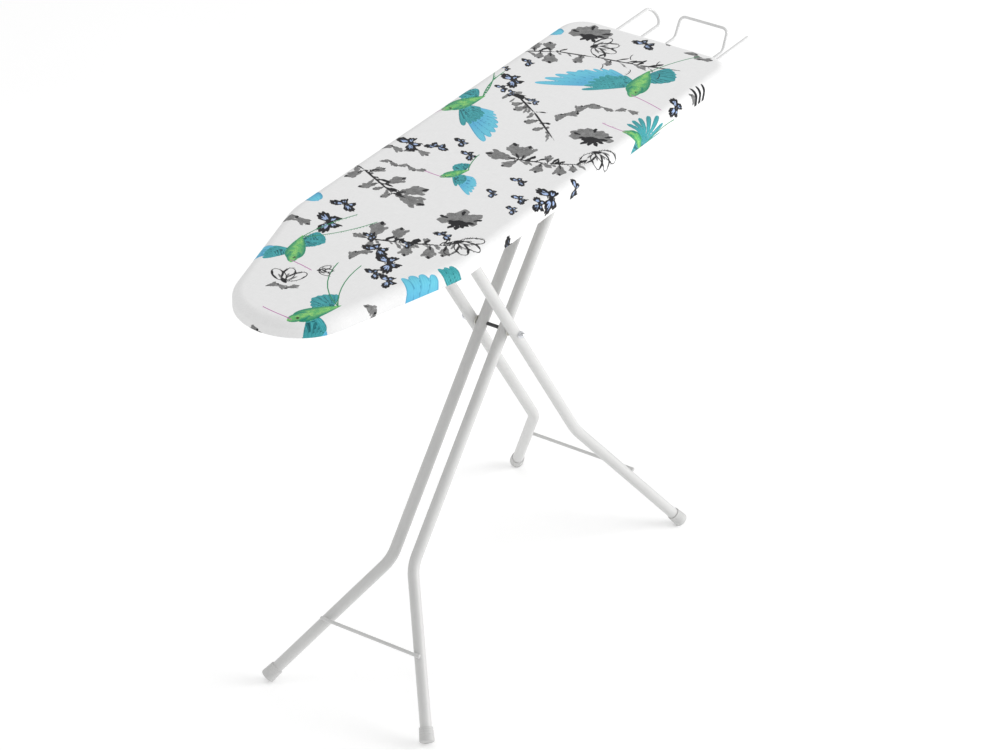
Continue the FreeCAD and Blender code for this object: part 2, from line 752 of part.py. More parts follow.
def make_push_nuts():
    """Spring nuts that keep the front top rod in its brackets."""
    out = []
    for side in (-1, 1):
        y = side * (bracket_offset + bracket_plate + push_nut_gap)
        y2 = y + side * push_nut_sheet
        disc = rod(V(x_hinge, y, hinge_z), V(x_hinge, y2, hinge_z), rod_r + push_nut_rim)
        y3 = y2 + side * push_nut_hub
        hub = rod(V(x_hinge, y2, hinge_z), V(x_hinge, y3, hinge_z), rod_r + push_nut_hub)
        body = disc.fuse(hub).cut(rod(V(x_hinge, y - side, hinge_z), V(x_hinge, y3 + side, hinge_z), rod_r))
        out.append(body.removeSplitter())
    return Part.makeCompound(out)


# ---------------------------------------------------------------- height lock
lever_x = x_slide - slider_length / 2.0 - lever_pin_gap
lever_z0 = z_guide - lever_height / 2.0
lever_z1 = z_guide + lever_height / 2.0


def make_slider():
    """Nylon block that rides on the guide rod and carries the rear legs' top rod."""
    w = slider_width / 2.0
    x0 = x_slide - slider_length / 2.0
    x1 = x_slide + slider_length / 2.0
    top = lever_z1 + lug_play + lug_thickness
    body = box(x0, x1, -w, w, hinge_z - slider_below, top)
    long_edges = [e for e in body.Edges if e.BoundBox.YLength > slider_width - 0.1]
    body = body.makeFillet(slider_edge, long_edges)
    for z0 in (lever_z0 - lug_play - lug_thickness, lever_z1 + lug_play):
        y = lever_pin_offset
        lug = box(lever_x, x0 + lug_root, y - lug_half, y + lug_half, z0, z0 + lug_thickness)
        eye = Part.makeCylinder(lug_half, lug_thickness, V(lever_x, y, z0))
        body = body.fuse(lug.fuse(eye))
    body = body.removeSplitter()
    g = guide_rod_diameter / 2.0 + running_clearance
    body = body.cut(rod(V(x0 - 30, 0, z_guide), V(x1 + 1, 0, z_guide), g))
    body = body.cut(rod(V(x_slide, -w - 1, hinge_z), V(x_slide, w + 1, hinge_z), rod_r + running_clearance))
    pin = rod(V(lever_x, lever_pin_offset, lever_z0 - 20), V(lever_x, lever_pin_offset, lever_z1 + 20),
              lever_pin_diameter / 2.0)
    return body.cut(pin)


def make_lever_pin():
    """Headed pin the lock lever turns on."""
    r = lever_pin_diameter / 2.0
    z0 = lever_z0 - lug_play - lug_thickness
    z1 = lever_z1 + lug_play + lug_thickness
    y = lever_pin_offset
    body = rod(V(lever_x, y, z0 - pin_slack), V(lever_x, y, z1), r)
    head = rod(V(lever_x, y, z1), V(lever_x, y, z1 + pin_head), r + pin_head_rim)
    tail = rod(V(lever_x, y, z0 - pin_slack - pin_tail), V(lever_x, y, z0), r + pin_tail)
    return body.fuse([head, tail]).removeSplitter()


def tilt_lever(shape):
    """Turn the lever about its pin into the biting position."""
    shape.rotate(V(lever_x, lever_pin_offset, 0), V(0, 0, 1), -lever_tilt)
    return shape


def arm_levels():
    """Lower and upper edge of the lever's hand arm."""
    top = lever_z1 - lever_arm_drop
    return top - lever_arm_height, top


def make_lever():
    """Steel lock plate on the guide rod, drawn out sideways into a hand lever."""
    t = lever_thickness / 2.0
    z0, z1 = lever_z0, lever_z1
    a0, a1 = arm_levels()
    end = -lever_reach + lever_cut_back
    pts = [
        V(0, lever_pin_offset, z0), V(0, lever_pin_offset, z1), V(0, lever_plate_top, z1),
        V(0, lever_arm_top, a1), V(0, end, a1), V(0, end, a0), V(0, lever_arm_low, a0),
        V(0, lever_plate_low, z0),
    ]
    pts = [p + V(lever_x - t, 0, 0) for p in pts]
    plate = Part.Face(Part.makePolygon(pts + pts[:1])).extrude(V(2.0 * t, 0, 0))
    r = lever_pin_diameter / 2.0
    eye = rod(V(lever_x, lever_pin_offset, z0), V(lever_x, lever_pin_offset, z1), r + lever_eye_wall)
    body = plate.fuse(eye).removeSplitter()
    body = body.cut(rod(V(lever_x, lever_pin_offset, z0 - 1), V(lever_x, lever_pin_offset, z1 + 1),
                        r + running_clearance))
    body = tilt_lever(body)
    # the hole is bored so that it still clears the rod when the plate is tilted
    hole_r = (guide_rod_diameter + lock_hole_clearance) / 2.0
    x_mid = lever_x - lever_pin_offset * math.tan(math.radians(lever_tilt))
    d = V(math.cos(math.radians(lever_tilt / 2.0)), -math.sin(math.radians(lever_tilt / 2.0)), 0)
    c = V(x_mid, 0, z_guide)
    return body.cut(rod(c - d * 12.0, c + d * 12.0, hole_r))


def make_grip():
    """Plastic grip pushed over the end of the lever."""
    a0, a1 = arm_levels()
    t = lever_thickness / 2.0
    y1 = -lever_reach + grip_length
    y0 = -lever_reach
    w = grip_wall
    body = box(lever_x - t - w, lever_x + t + w, y0, y1, a0 - w, a1 + w)
    body = body.makeFillet(w * 0.8, body.Edges)
    slot = box(lever_x - t, lever_x + t, y0 + lever_cut_back, y1 + 1.0, a0, a1)
    return tilt_lever(body.cut(slot))


def make_spring():
    """Coil spring on the guide rod that pushes the lock plate away from the slider."""
    r = guide_rod_diameter / 2.0 + spring_fit + spring_wire / 2.0
    x1 = x_slide - slider_length / 2.0 - spring_wire / 2.0 - spring_seat
    x_mid = lever_x - (lever_pin_offset - r) * math.tan(math.radians(lever_tilt))
    x0 = x_mid + lever_thickness / 2.0 + spring_wire / 2.0 + spring_gap
    length = x1 - x0
    helix = Part.makeHelix(length / spring_coils, length, r)
    start = helix.Edges[0].valueAt(helix.Edges[0].FirstParameter)
    tangent = helix.Edges[0].tangentAt(helix.Edges[0].FirstParameter)
    ring = Part.Wire(Part.makeCircle(spring_wire / 2.0, start, tangent))
    body = Part.Wire(helix.Edges).makePipeShell([ring], True, True)
    body.Placement = FreeCAD.Placement(V(x0, 0, z_guide), FreeCAD.Rotation(V(0, 0, 1), V(1, 0, 0)))
    return body


# ---------------------------------------------------------------- iron rest
def screw_ys():
    """Cross positions of the clip screws."""
    d = wire_r + clip_sheet + clip_ear / 2.0
    return [s * (rest_outer_y + k * d) for s in (-1, 1) for k in (-1, 1)]


def rest_edges():
    """Centre line of the bent wire, from one clamped end to the other."""
    wing = V(0, rest_outer_y - rest_inner_y, rest_inner_drop).Length / 2.0
    back = V(0, rest_inner_y - rest_mid_y, rest_mid_drop - rest_inner_drop).Length / 2.0
    xw = x_rear + rest_wing_reach - wire_r - wing
    xs = x_rear - rest_start
    xi = x_rear - rest_return + back
    xb = x_rear + rest_stop_base
    xt = xb + rest_stop_lean
    zt = z_mid + rest_stop_rise
    all_edges = []
    for side in (1, -1):
        po = V(xs, side * rest_outer_y, z_outer)
        p1 = V(xw, side * rest_outer_y, z_outer)
        p2 = V(xw, side * rest_inner_y, z_inner)
        pm = (p1 + p2) * 0.5 + V(wing, 0, 0)
        p3 = V(xi, side * rest_inner_y, z_inner)
        p4 = V(xi, side * rest_mid_y, z_mid)
        pn = (p3 + p4) * 0.5 - V(back, 0, 0)
        all_edges.append(Part.LineSegment(po, p1).toShape())
        all_edges.append(Part.Arc(p1, pm, p2).toShape())
        all_edges.append(Part.LineSegment(p2, p3).toShape())
        all_edges.append(Part.Arc(p3, pn, p4).toShape())
    q = [
        V(xi, rest_mid_y, z_mid), V(xb, rest_mid_y, z_mid), V(xt, rest_stop_y, zt),
        V(xt, -rest_stop_y, zt), V(xb, -rest_mid_y, z_mid), V(xi, -rest_mid_y, z_mid),
    ]
    all_edges += rounded_edges(q, [rest_bend_radius] * 4)
    return all_edges


def make_rest():
    """Iron rest bent from one wire: two raised wings, a hanging tray and the heel stop."""
    return sweep(rest_edges(), wire_r)


def make_rest_tie(rest):
    """Cross wire welded under the rest where it passes the rear edge."""
    x = x_rear - rest_tie
    d = wire_diameter
    tilt = math.atan2(rest_mid_drop, rest_outer_y - rest_mid_y)
    n = V(0, math.sin(tilt), -math.cos(tilt))
    low = V(x, rest_mid_y, z_mid) + V(0, tie_low_lean, -tie_low_drop) * d
    past = V(0, math.cos(tilt), math.sin(tilt)) * tie_past
    out = V(x, rest_outer_y, z_outer) + n * (d * tie_touch) + past
    pts = [out, low, V(low.x, -low.y, low.z), V(out.x, -out.y, out.z)]
    body = sweep(rounded_edges(pts, [tie_bend, tie_bend]), wire_r)
    return keep_largest(body.cut(rest))


def make_clips():
    """Four saddle clips that clamp the rest wire to the bearers."""
    out = []
    r1 = wire_r + clip_sheet
    for gap in bearer_positions:
        for side in (-1, 1):
            x = x_rear - gap
            y = side * rest_outer_y
            w = clip_width / 2.0
            ear = wire_r + clip_sheet + clip_ear
            bar = box(x - w, x + w, y - ear, y + ear, z_wire_top - clip_sheet, z_wire_top)
            wall = box(x - w, x + w, y - r1, y + r1, z_outer, z_wire_top)
            bowl = rod(V(x - w, y, z_outer), V(x + w, y, z_outer), r1)
            bowl = bowl.cut(box(x - w - 1, x + w + 1, y - r1 - 1, y + r1 + 1, z_outer, z_outer + 20))
            body = bar.fuse([wall, bowl]).removeSplitter()
            body = body.cut(rod(V(x - w - 1, y, z_outer), V(x + w + 1, y, z_outer), wire_r))
            body = body.cut(box(x - w - 1, x + w + 1, y - wire_r, y + wire_r, z_outer, z_wire_top + 1))
            for cy in screw_ys():
                if abs(cy - y) < ear:
                    hole = rod(V(x, cy, z_wire_top - 4), V(x, cy, z_wire_top + 1), screw_diameter / 2.0)
                    body = body.cut(hole)
            out.append(body)
    return Part.makeCompound(out)


def make_screws():
    """Pan head screws of the clips."""
    out = []
    for gap in bearer_positions:
        for cy in screw_ys():
            x = x_rear - gap
            z = z_wire_top - clip_sheet
            tip = z_wire_top + bearer_thickness + screw_tail
            low = z - screw_head_height
            shank = rod(V(x, cy, z), V(x, cy, tip), screw_diameter / 2.0)
            head = Part.makeCylinder(screw_head / 2.0, screw_head_height, V(x, cy, low))
            head = head.makeFillet(screw_rounding, flat_edges(head, low))
            screw = shank.fuse(head).removeSplitter()
            for lx, ly in ((screw_cross, screw_cross_width), (screw_cross_width, screw_cross)):
                a = lx / 2.0
                b = ly / 2.0
                screw = screw.cut(box(x - a, x + a, cy - b, cy + b, low - 1, low + screw_cross_depth))
            out.append(screw)
    return Part.makeCompound(out)


# ---------------------------------------------------------------- write every sub-part
save("cover", make_cover())
save("pad", make_pad())
save("hem_elastic", make_elastic())
save("board_panel", make_panel())
save("board_rim", make_rim())
save("rail_left", make_rail(-1))
save("rail_right", make_rail(1))
save("strap_nose", make_strap(strap_nose_x))
save("strap_middle", make_strap(strap_mid_x))
save("strap_hinge", make_strap(x_hinge))
save("rest_bearer_rear", make_bearer(bearer_positions[0]))
save("rest_bearer_front", make_bearer(bearer_positions[1]))
save("hinge_bracket_left", make_hinge_bracket(-1))
save("hinge_bracket_right", make_hinge_bracket(1))
save("hinge_rivets", rivets(hinge_rivet_at, z_plate, z_rail + rail_thickness))
save("strap_rivets", rivets(strap_rivet_at, z_strap, z_rail + rail_thickness))
save("guide_rivets", rivets(guide_rivet_at, z_plate, z_rail))
save("guide_bracket_nose", make_guide_bracket(0))
save("guide_bracket_rear", make_guide_bracket(1))
save("guide_rod", make_guide_rod())
rest = save("iron_rest", make_rest())
save("rest_tie", make_rest_tie(rest))
save("rest_clips", make_clips())
save("rest_screws", make_screws())

for which in ("front", "rear"):
    for side, word in ((-1, "left"), (1, "right")):
        save(which + "_leg_" + word, make_leg(which, side))
        save(which + "_foot_" + word, make_foot(which, side))
    save(which + "_top_rod", make_top_rod(which))
    save(which + "_brace", make_brace(which))

save("pivot_rod", make_pivot_rod())
save("pivot_cap_nuts", make_cap_nuts())
save("pivot_washers", make_pivot_washers())
save("hinge_push_nuts", make_push_nuts())

save("slider_block", make_slider())
save("lever_pin", make_lever_pin())
save("lock_lever", make_lever())
save("lever_grip", make_grip())
save("lock_spring", make_spring())
print("pivot x", round(x_pivot, 3), "slide x", round(x_slide, 3), "hinge x", round(x_hinge, 3),
      "hinge z", hinge_z, "arm", round(arm, 3))
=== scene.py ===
import math

import bpy
import numpy as np
from mathutils import Matrix, Vector


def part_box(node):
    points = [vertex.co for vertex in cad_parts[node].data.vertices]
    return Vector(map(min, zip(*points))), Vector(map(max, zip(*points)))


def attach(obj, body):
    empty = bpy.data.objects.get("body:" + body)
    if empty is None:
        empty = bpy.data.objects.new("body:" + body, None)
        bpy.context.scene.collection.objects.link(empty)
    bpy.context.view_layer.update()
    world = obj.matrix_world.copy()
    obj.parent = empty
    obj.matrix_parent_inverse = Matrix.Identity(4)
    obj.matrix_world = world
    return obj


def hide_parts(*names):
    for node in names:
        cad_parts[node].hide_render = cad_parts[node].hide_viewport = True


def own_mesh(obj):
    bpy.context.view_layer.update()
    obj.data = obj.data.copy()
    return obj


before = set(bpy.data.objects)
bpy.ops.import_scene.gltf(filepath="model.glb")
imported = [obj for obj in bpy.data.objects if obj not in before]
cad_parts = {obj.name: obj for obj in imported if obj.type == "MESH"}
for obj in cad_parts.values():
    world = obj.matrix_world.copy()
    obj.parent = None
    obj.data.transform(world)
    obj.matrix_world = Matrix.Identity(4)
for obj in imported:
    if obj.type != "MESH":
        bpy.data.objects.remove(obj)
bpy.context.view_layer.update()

# ---------------------------------------------------------------- studio
# The board stands on a plain white floor, lit by the white room around it, with one wide
# soft light on the side of its long edge and a weaker one above.
scene = bpy.context.scene
scene.view_settings.view_transform = "Standard"


def put_mesh(name, points, faces, smooth=True):
    """Object at the origin made from an array of corners and an array or list of faces."""
    mesh = bpy.data.meshes.new(name)
    faces = faces.tolist() if isinstance(faces, np.ndarray) else faces
    mesh.from_pydata(np.asarray(points, float).tolist(), [], faces)
    mesh.polygons.foreach_set("use_smooth", np.full(len(mesh.polygons), smooth))
    mesh.update()
    piece = bpy.data.objects.new(name, mesh)
    scene.collection.objects.link(piece)
    return piece


def node(tree, kind, inputs=None, **settings):
    """One node; inputs maps a socket's name or place to a number, a colour or a joined socket."""
    made = tree.nodes.new(kind)
    for key, value in settings.items():
        setattr(made, key, value)
    for key, value in (inputs or {}).items():
        if isinstance(value, bpy.types.NodeSocket):
            tree.links.new(value, made.inputs[key])
        else:
            made.inputs[key].default_value = value
    return made


def finish_of(name, **values):
    """New material: its node tree and its shader, with the values set on the shader's own sockets."""
    material = bpy.data.materials.new(name)
    material.use_nodes = True
    tree = material.node_tree
    shader = tree.nodes["Principled BSDF"]
    for key, value in values.items():
        shader.inputs[key.replace("_", " ")].default_value = value
    return material, tree, shader


def own_place(tree):
    """Object coordinates of the piece that a material is on."""
    return node(tree, "ShaderNodeTexCoord").outputs["Object"]


def feed(tree, end, **values):
    """Joins values that change over the surface to the sockets of a shader or of a group's end."""
    for key, value in values.items():
        tree.links.new(value, end.inputs[key.replace("_", " ")])


def area_light(name, place, target, width, height, watts):
    """Soft box facing its target."""
    lamp = bpy.data.lights.new(name, "AREA")
    lamp.shape = "RECTANGLE"
    lamp.size = width
    lamp.size_y = height
    lamp.energy = watts
    box = bpy.data.objects.new(name, lamp)
    box.location = place
    box.rotation_euler = (Vector(target) - Vector(place)).to_track_quat("-Z", "Y").to_euler()
    scene.collection.objects.link(box)


area_light("side_box", (2.6, -4.2, 1.9), (0.0, 0.0, 0.5), width=3.0, height=3.0, watts=140.0)
area_light("top_box", (-0.6, 0.4, 4.6), (0.0, 0.0, 0.6), width=3.0, height=2.4, watts=24.0)

white = (1.0, 1.0, 1.0, 1.0)
room_light = 0.68
world = bpy.data.worlds.new("white_room")
world.use_nodes = True
world.node_tree.nodes["Background"].inputs["Color"].default_value = white
world.node_tree.nodes["Background"].inputs["Strength"].default_value = room_light
scene.world = world

floor_reach = 14.0
floor_glow = 0.21
corners = np.array([(-1, -1, 0), (1, -1, 0), (1, 1, 0), (-1, 1, 0)], float) * floor_reach
floor = put_mesh("floor", corners, [(0, 1, 2, 3)], smooth=False)
paper, tree, shader = finish_of("floor_paper", Roughness=0.95, Specular_IOR_Level=0.0,
                                Emission_Color=white, Emission_Strength=floor_glow)
grain = node(tree, "ShaderNodeTexNoise", {"Vector": own_place(tree), "Scale": 3.0})
tones = {"A": (0.93, 0.93, 0.93, 1.0), "B": (0.95, 0.95, 0.95, 1.0)}
tint = node(tree, "ShaderNodeMix", {"Factor": grain.outputs["Fac"], **tones}, data_type="RGBA")
feed(tree, shader, Base_Color=tint.outputs["Result"])
floor.data.materials.append(paper)

# The camera looks down on the board from its nose end and near side.
azimuth, elevation, roll = np.radians([-57.802, 31.306, 1.088])
level = np.array([math.cos(azimuth), math.sin(azimuth), 0.0])
outward = np.array([math.sin(azimuth), -math.cos(azimuth), 0.0])
back = outward * math.cos(elevation) + np.array([0.0, 0.0, math.sin(elevation)])
upward = np.cross(back, level)
right = level * math.cos(roll) + upward * math.sin(roll)
up = -level * math.sin(roll) + upward * math.cos(roll)
lens = bpy.data.cameras.new("camera")
lens.sensor_width = 36.0
lens.lens = 126.447
lens.clip_start = 0.05
lens.clip_end = 60.0
camera = bpy.data.objects.new("camera", lens)
stand = np.eye(4)
stand[:3, :3] = np.column_stack([right, up, back])
stand[:3, 3] = (-4.11925, -2.5986, 3.3753)
camera.matrix_world = Matrix(stand.tolist())
scene.collection.objects.link(camera)
scene.camera = camera

# ---------------------------------------------------------------- cotton cover
# Printed cotton, drawn tight over the board: flat on top, rolled over the edge, with a skirt
# and a hem that an elastic gathers underneath. It is one closed shell of cloth.
cover_low, cover_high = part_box("cover")
nose_x = cover_low[0]
rear_x = cover_high[0]
half_board = (cover_high[1] - cover_low[1]) / 2
top_z = cover_high[2]
skirt_z = cover_low[2]
rear_corner = 0.048
taper_run = 0.295
taper_turn = math.radians(15.6)
shoulder = 0.160


def outline(stations):
    """Places and outward directions at even steps round the board.

    The outline is the curve whose heading turns only along three arcs on each side: rear
    corner, shoulder and nose. Its places are the running sum of the heading's direction."""
    nose_half = half_board - taper_run * math.tan(taper_turn)
    nose = nose_half * math.cos(taper_turn) / (1 - math.sin(taper_turn))
    ease = shoulder * math.tan(taper_turn / 2)
    taper_x = nose_x + taper_run
    low = np.array([taper_x - ease * math.cos(taper_turn),
                    half_board - ease * math.sin(taper_turn)])
    tip = np.array([nose_x + nose - nose * math.sin(taper_turn), nose * math.cos(taper_turn)])
    runs = [half_board - rear_corner, rear_corner * math.pi / 2,
            rear_x - rear_corner - taper_x - ease,
            shoulder * taper_turn, np.linalg.norm(low - tip), nose * (math.pi / 2 - taper_turn)]
    turns = [0, math.pi / 2, 0, taper_turn, 0, math.pi / 2 - taper_turn]
    ends = np.concatenate([[0], np.cumsum(runs)])
    steps_of_sum = 60000
    fine = np.linspace(0, ends[-1], steps_of_sum + 1)
    heading = math.pi / 2 + np.interp(fine, ends, np.concatenate([[0], np.cumsum(turns)]))
    step = fine[1]
    way = np.column_stack([np.cos(heading), np.sin(heading)])
    place = np.concatenate([[[0, 0]],
                            np.cumsum((way[1:] + way[:-1]) / 2 * step, axis=0)]) + [rear_x, 0]
    run = (np.arange(stations) + 0.5) / stations * 2 * ends[-1]
    far = run > ends[-1]
    run = np.where(far, 2 * ends[-1] - run, run)
    mirror = np.where(far, -1.0, 1.0)
    x = np.interp(run, fine, place[:, 0])
    y = np.interp(run, fine, place[:, 1]) * mirror
    turn = np.interp(run, fine, heading)
    return np.column_stack([x, y]), np.column_stack([np.sin(turn), -np.cos(turn) * mirror]), nose


def rings(place, out, inset, z):
    """Rows of points round the board, each at its inset and height."""
    flat = place[None] - out[None] * np.asarray(inset)[:, None, None]
    heights = np.broadcast_to(np.asarray(z)[:, None, None], (*flat.shape[:2], 1))
    return np.concatenate([flat, heights], axis=2)


def to_spine(place, out, nose, inset, z, shares):
    """Rows that close a ring: straight lines from it to the nearest point of the board's spine."""
    edge = place - out * inset
    spine = np.column_stack([np.clip(edge[:, 0], nose_x + nose, rear_x - half_board),
                             np.zeros(len(edge))])
    flat = edge[None] + (spine - edge)[None] * np.asarray(shares)[:, None, None]
    return np.concatenate([flat, np.full((*flat.shape[:2], 1), z)], axis=2)


def skin(name, rows):
    """Closed surface from rows of points that run round it, doubles merged, faces outwards.

    Returns the piece, and for each of its corners the number of the grid point it came from."""
    count, around = rows.shape[:2]
    at = np.arange(count * around).reshape(count, around)
    a, b = at[:-1], np.roll(at[:-1], -1, axis=1)
    d, c = at[1:], np.roll(at[1:], -1, axis=1)
    tris = np.concatenate([np.stack([a, b, c], -1).reshape(-1, 3),
                           np.stack([a, c, d], -1).reshape(-1, 3)])
    flat = rows.reshape(-1, 3)
    first, inverse = np.unique(np.round(flat, 7), axis=0, return_index=True,
                               return_inverse=True)[1:]
    tris = inverse.reshape(-1)[tris]
    a, b, c = tris.T
    tris = tris[(a != b) & (b != c) & (c != a)]
    points = flat[first]
    corner = points[tris]
    inside = np.einsum("ij,ij->i", corner[:, 0], np.cross(corner[:, 1], corner[:, 2])).sum()
    if inside < 0:
        tris = tris[:, ::-1]
    return put_mesh(name, points, tris), first


stations = 960
place, out, nose_radius = outline(stations)
round_in = 0.0165
round_down = 0.0135
fold = 0.0018
hem = 0.032
cloth = 0.0005
pucker_height = 0.0026
smooth_hem = 0.012


def gather(inset):
    """Height of the elastic's puckers on the hem: waves round the board that grow inwards.

    The waves are two sines with slowly changing pace, higher where the outline bends."""
    run = np.arange(stations) / stations * 2 * math.pi
    heading = np.unwrap(np.arctan2(out[:, 1], out[:, 0]))
    bend = np.clip(np.abs(np.gradient(heading)) * 60, 0, 1)
    spread = 41
    bend = np.convolve(np.tile(bend, 3), np.ones(spread) / spread, "same")[stations:2 * stations]
    coarse = np.sin(97 * run + 3 * np.sin(5 * run))
    wave = 0.5 + 0.3 * np.sin(150 * run + 2 * np.sin(7 * run)) + 0.2 * coarse
    grow = np.clip((np.asarray(inset) - smooth_hem) / (hem - smooth_hem), 0, 1)[:, None] ** 1.5
    return pucker_height * wave[None] * (0.35 + 0.65 * bend[None]) * grow


def profile(shift, hem_rows, fold_rows, skirt_rows, round_rows):
    """Inset and height from the hem's inner edge out, round the fold, up the skirt and over."""
    quarter = np.linspace(0, math.pi / 2, fold_rows + 1)[1:]
    over = np.linspace(0, math.pi / 2, round_rows + 1)[1:]
    low = skirt_z + shift
    inset = np.concatenate([np.linspace(hem, fold + shift, hem_rows),
                            fold + shift - fold * np.sin(quarter),
                            np.full(skirt_rows, shift),
                            round_in - (round_in - shift) * np.cos(over)])
    z = np.concatenate([np.full(hem_rows, low), low + fold - fold * np.cos(quarter),
                        np.linspace(low + fold, top_z - round_down, skirt_rows + 1)[1:],
                        top_z - round_down + (round_down - shift) * np.sin(over)])
    return inset, z


top_shares = np.linspace(0, 1, 55)[1:]
inset, height = profile(0.0, hem_rows=12, fold_rows=4, skirt_rows=5, round_rows=12)
outer = rings(place, out, inset, height)
outer[:, :, 2] += gather(inset) * (height[:, None] < skirt_z + 1e-6)
flat_top = to_spine(place, out, nose_radius, round_in, top_z, top_shares)
inner_inset, inner_height = profile(cloth, hem_rows=5, fold_rows=2, skirt_rows=2, round_rows=4)
inner = rings(place, out, inner_inset, inner_height)
inner[:, :, 2] += gather(inner_inset) * (inner_height[:, None] < skirt_z + cloth + 1e-6)
under_top = to_spine(place, out, nose_radius, round_in, top_z - cloth, [0.5, 1.0])
shell = np.concatenate([under_top[::-1], inner[::-1], outer, flat_top])
cover, grid_point = skin("cotton_cover", shell)

# where each point of the outer face lies on the flat cloth, before it was rolled over the edge
steps = np.hypot(np.diff(inset), np.diff(height))
beyond = np.concatenate([np.cumsum(steps[::-1])[::-1], [0]])
rolled = place[None] + out[None] * (beyond - round_in)[:, None, None]
print_rear = 467.5  # where the print puts the board's rear edge, in millimetres
flat_cloth = np.concatenate([rolled, flat_top[:, :, :2]]).reshape(-1, 2) * 1000.0
flat_cloth[:, 0] += print_rear - rear_x * 1000.0

# The print is drawn with two strokes of the brush: petals, which are leaves, feathers and
# wings between a root and a tip, and thin lines, which are stems, beaks and tail streamers.
GREY, DARK, WING, FEATHER, BODY, PALE = range(6)
STREAM, BEAK, TWIG = range(3)
petals = []
lines = []
dice = np.random.default_rng(11)


def petal(layer, root, tip, half_width, root_taper=0.7, tip_taper=0.6, lobes=0.0):
    """One brush mark from root to tip."""
    petals.append((layer, *root, *tip, half_width, root_taper, tip_taper, lobes))


def line(layer, start, end, bend=0.0):
    """Thin line whose middle is pushed sideways by bend times its length."""
    start, end = np.array(start, float), np.array(end, float)
    side = np.array([start[1] - end[1], end[0] - start[0]])
    t = np.linspace(0, 1, 8)[:, None]
    lines.append((layer, start + (end - start) * t + side * bend * 4 * t * (1 - t)))


def turned(vector, degrees):
    """A flat vector turned anticlockwise."""
    a = math.radians(degrees)
    x, y = vector
    return np.array([x * math.cos(a) - y * math.sin(a), x * math.sin(a) + y * math.cos(a)])


def bird(tail, head, fan, wings, beak, streamers):
    """Small bird in flight: full body, fanned tail, long wings, straight beak and tail streamers."""
    tail, head, fan, beak = (np.array(p, float) for p in (tail, head, fan, beak))
    axis = head - tail
    size = np.linalg.norm(axis)
    shoulder_at = tail + axis * 0.60
    for tip, width in wings:
        reach = np.array(tip, float) - shoulder_at
        back_side = math.copysign(1, reach[0] * -axis[1] + reach[1] * axis[0])
        for k in range(5):
            far_tip = shoulder_at + turned(reach, back_side * 6.5 * (k - 0.6)) * (1.0 - 0.085 * k)
            petal(WING, shoulder_at, far_tip, width * 0.42, 0.85, 0.38)
        for k in range(6):
            far_tip = shoulder_at + turned(reach, back_side * (9 * k - 16)) * (0.56 - 0.035 * k)
            petal(FEATHER, shoulder_at, far_tip, width * 0.30, 0.8, 0.35)
    spread = fan - tail
    for turn in (-50, 50, -37, 37, -25, 25, -12, 12, 0):
        far_tip = tail + turned(spread, turn) * (1.06 - abs(turn) / 210)
        petal(FEATHER, tail + axis * 0.12, far_tip, size * 0.082, 1.0, 0.28)
    petal(BODY, tail - axis * 0.10, head - axis * 0.06, size * 0.205, 1.15, 0.45)
    petal(BODY, tail + axis * 0.60, head + axis * 0.08, size * 0.130, 0.45, 0.60)
    line(BEAK, head, beak, 0.02)
    for tip, bend in streamers:
        line(STREAM, tail, tip, bend)
    eye = head - axis * 0.13 + turned(axis, 90) * 0.035
    for turn in range(0, 360, 60):
        line(TWIG, eye, eye + turned(axis, turn) * 0.014)


def butterfly(x, y, size, turn):
    """Butterfly seen from above: pointed fore wings, short hind wings, pale cells and a thin body."""
    centre = np.array([x, y], float)
    wings = ((8, 0.60, 0.055), (18, 0.72, 0.055), (29, 0.70, 0.065), (41, 0.60, 0.065),
             (53, 0.46, 0.055), (-8, 0.36, 0.060), (-23, 0.42, 0.065), (-39, 0.42, 0.060),
             (-55, 0.46, 0.045))
    cells = ((19, 0.52, 0.024), (32, 0.50, 0.026), (46, 0.38, 0.022), (-20, 0.30, 0.026),
             (-40, 0.32, 0.024))
    for side in (-1, 1):
        for swing, reach, width in wings:
            tip = turned((side * reach * size, 0), turn + side * swing)
            petal(DARK, centre, centre + tip, width * size, 1.1, 0.40)
        for swing, reach, width in cells:
            tip = turned((side * reach * size, 0), turn + side * swing)
            petal(PALE, centre + tip * 0.30, centre + tip, width * size, 0.6, 0.6)
    spine = turned((0, size * 0.20), turn)
    petal(DARK, centre - spine, centre + spine, size * 0.035, 0.5, 0.5)


def leaf(root, tip, half):
    """Brushed leaf: a grey blade with two side strokes, a black root and a black tip."""
    way = tip - root
    petal(GREY, root, tip, half, 0.55, 0.40, 3.5)
    for side in (-1, 1):
        start_at = root + way * 0.18
        side_tip = start_at + turned(way, side * 24) * (0.60 + 0.22 * dice.random())
        petal(GREY, start_at, side_tip, half * 0.50, 0.6, 0.4, 2.5)
    petal(DARK, root, root + turned(way, 5) * (0.30 + 0.18 * dice.random()), half * 0.20, 0.4, 0.8)
    petal(DARK, root + turned(way, -4) * 0.80, tip + way * 0.04, half * 0.30, 0.5, 0.45)


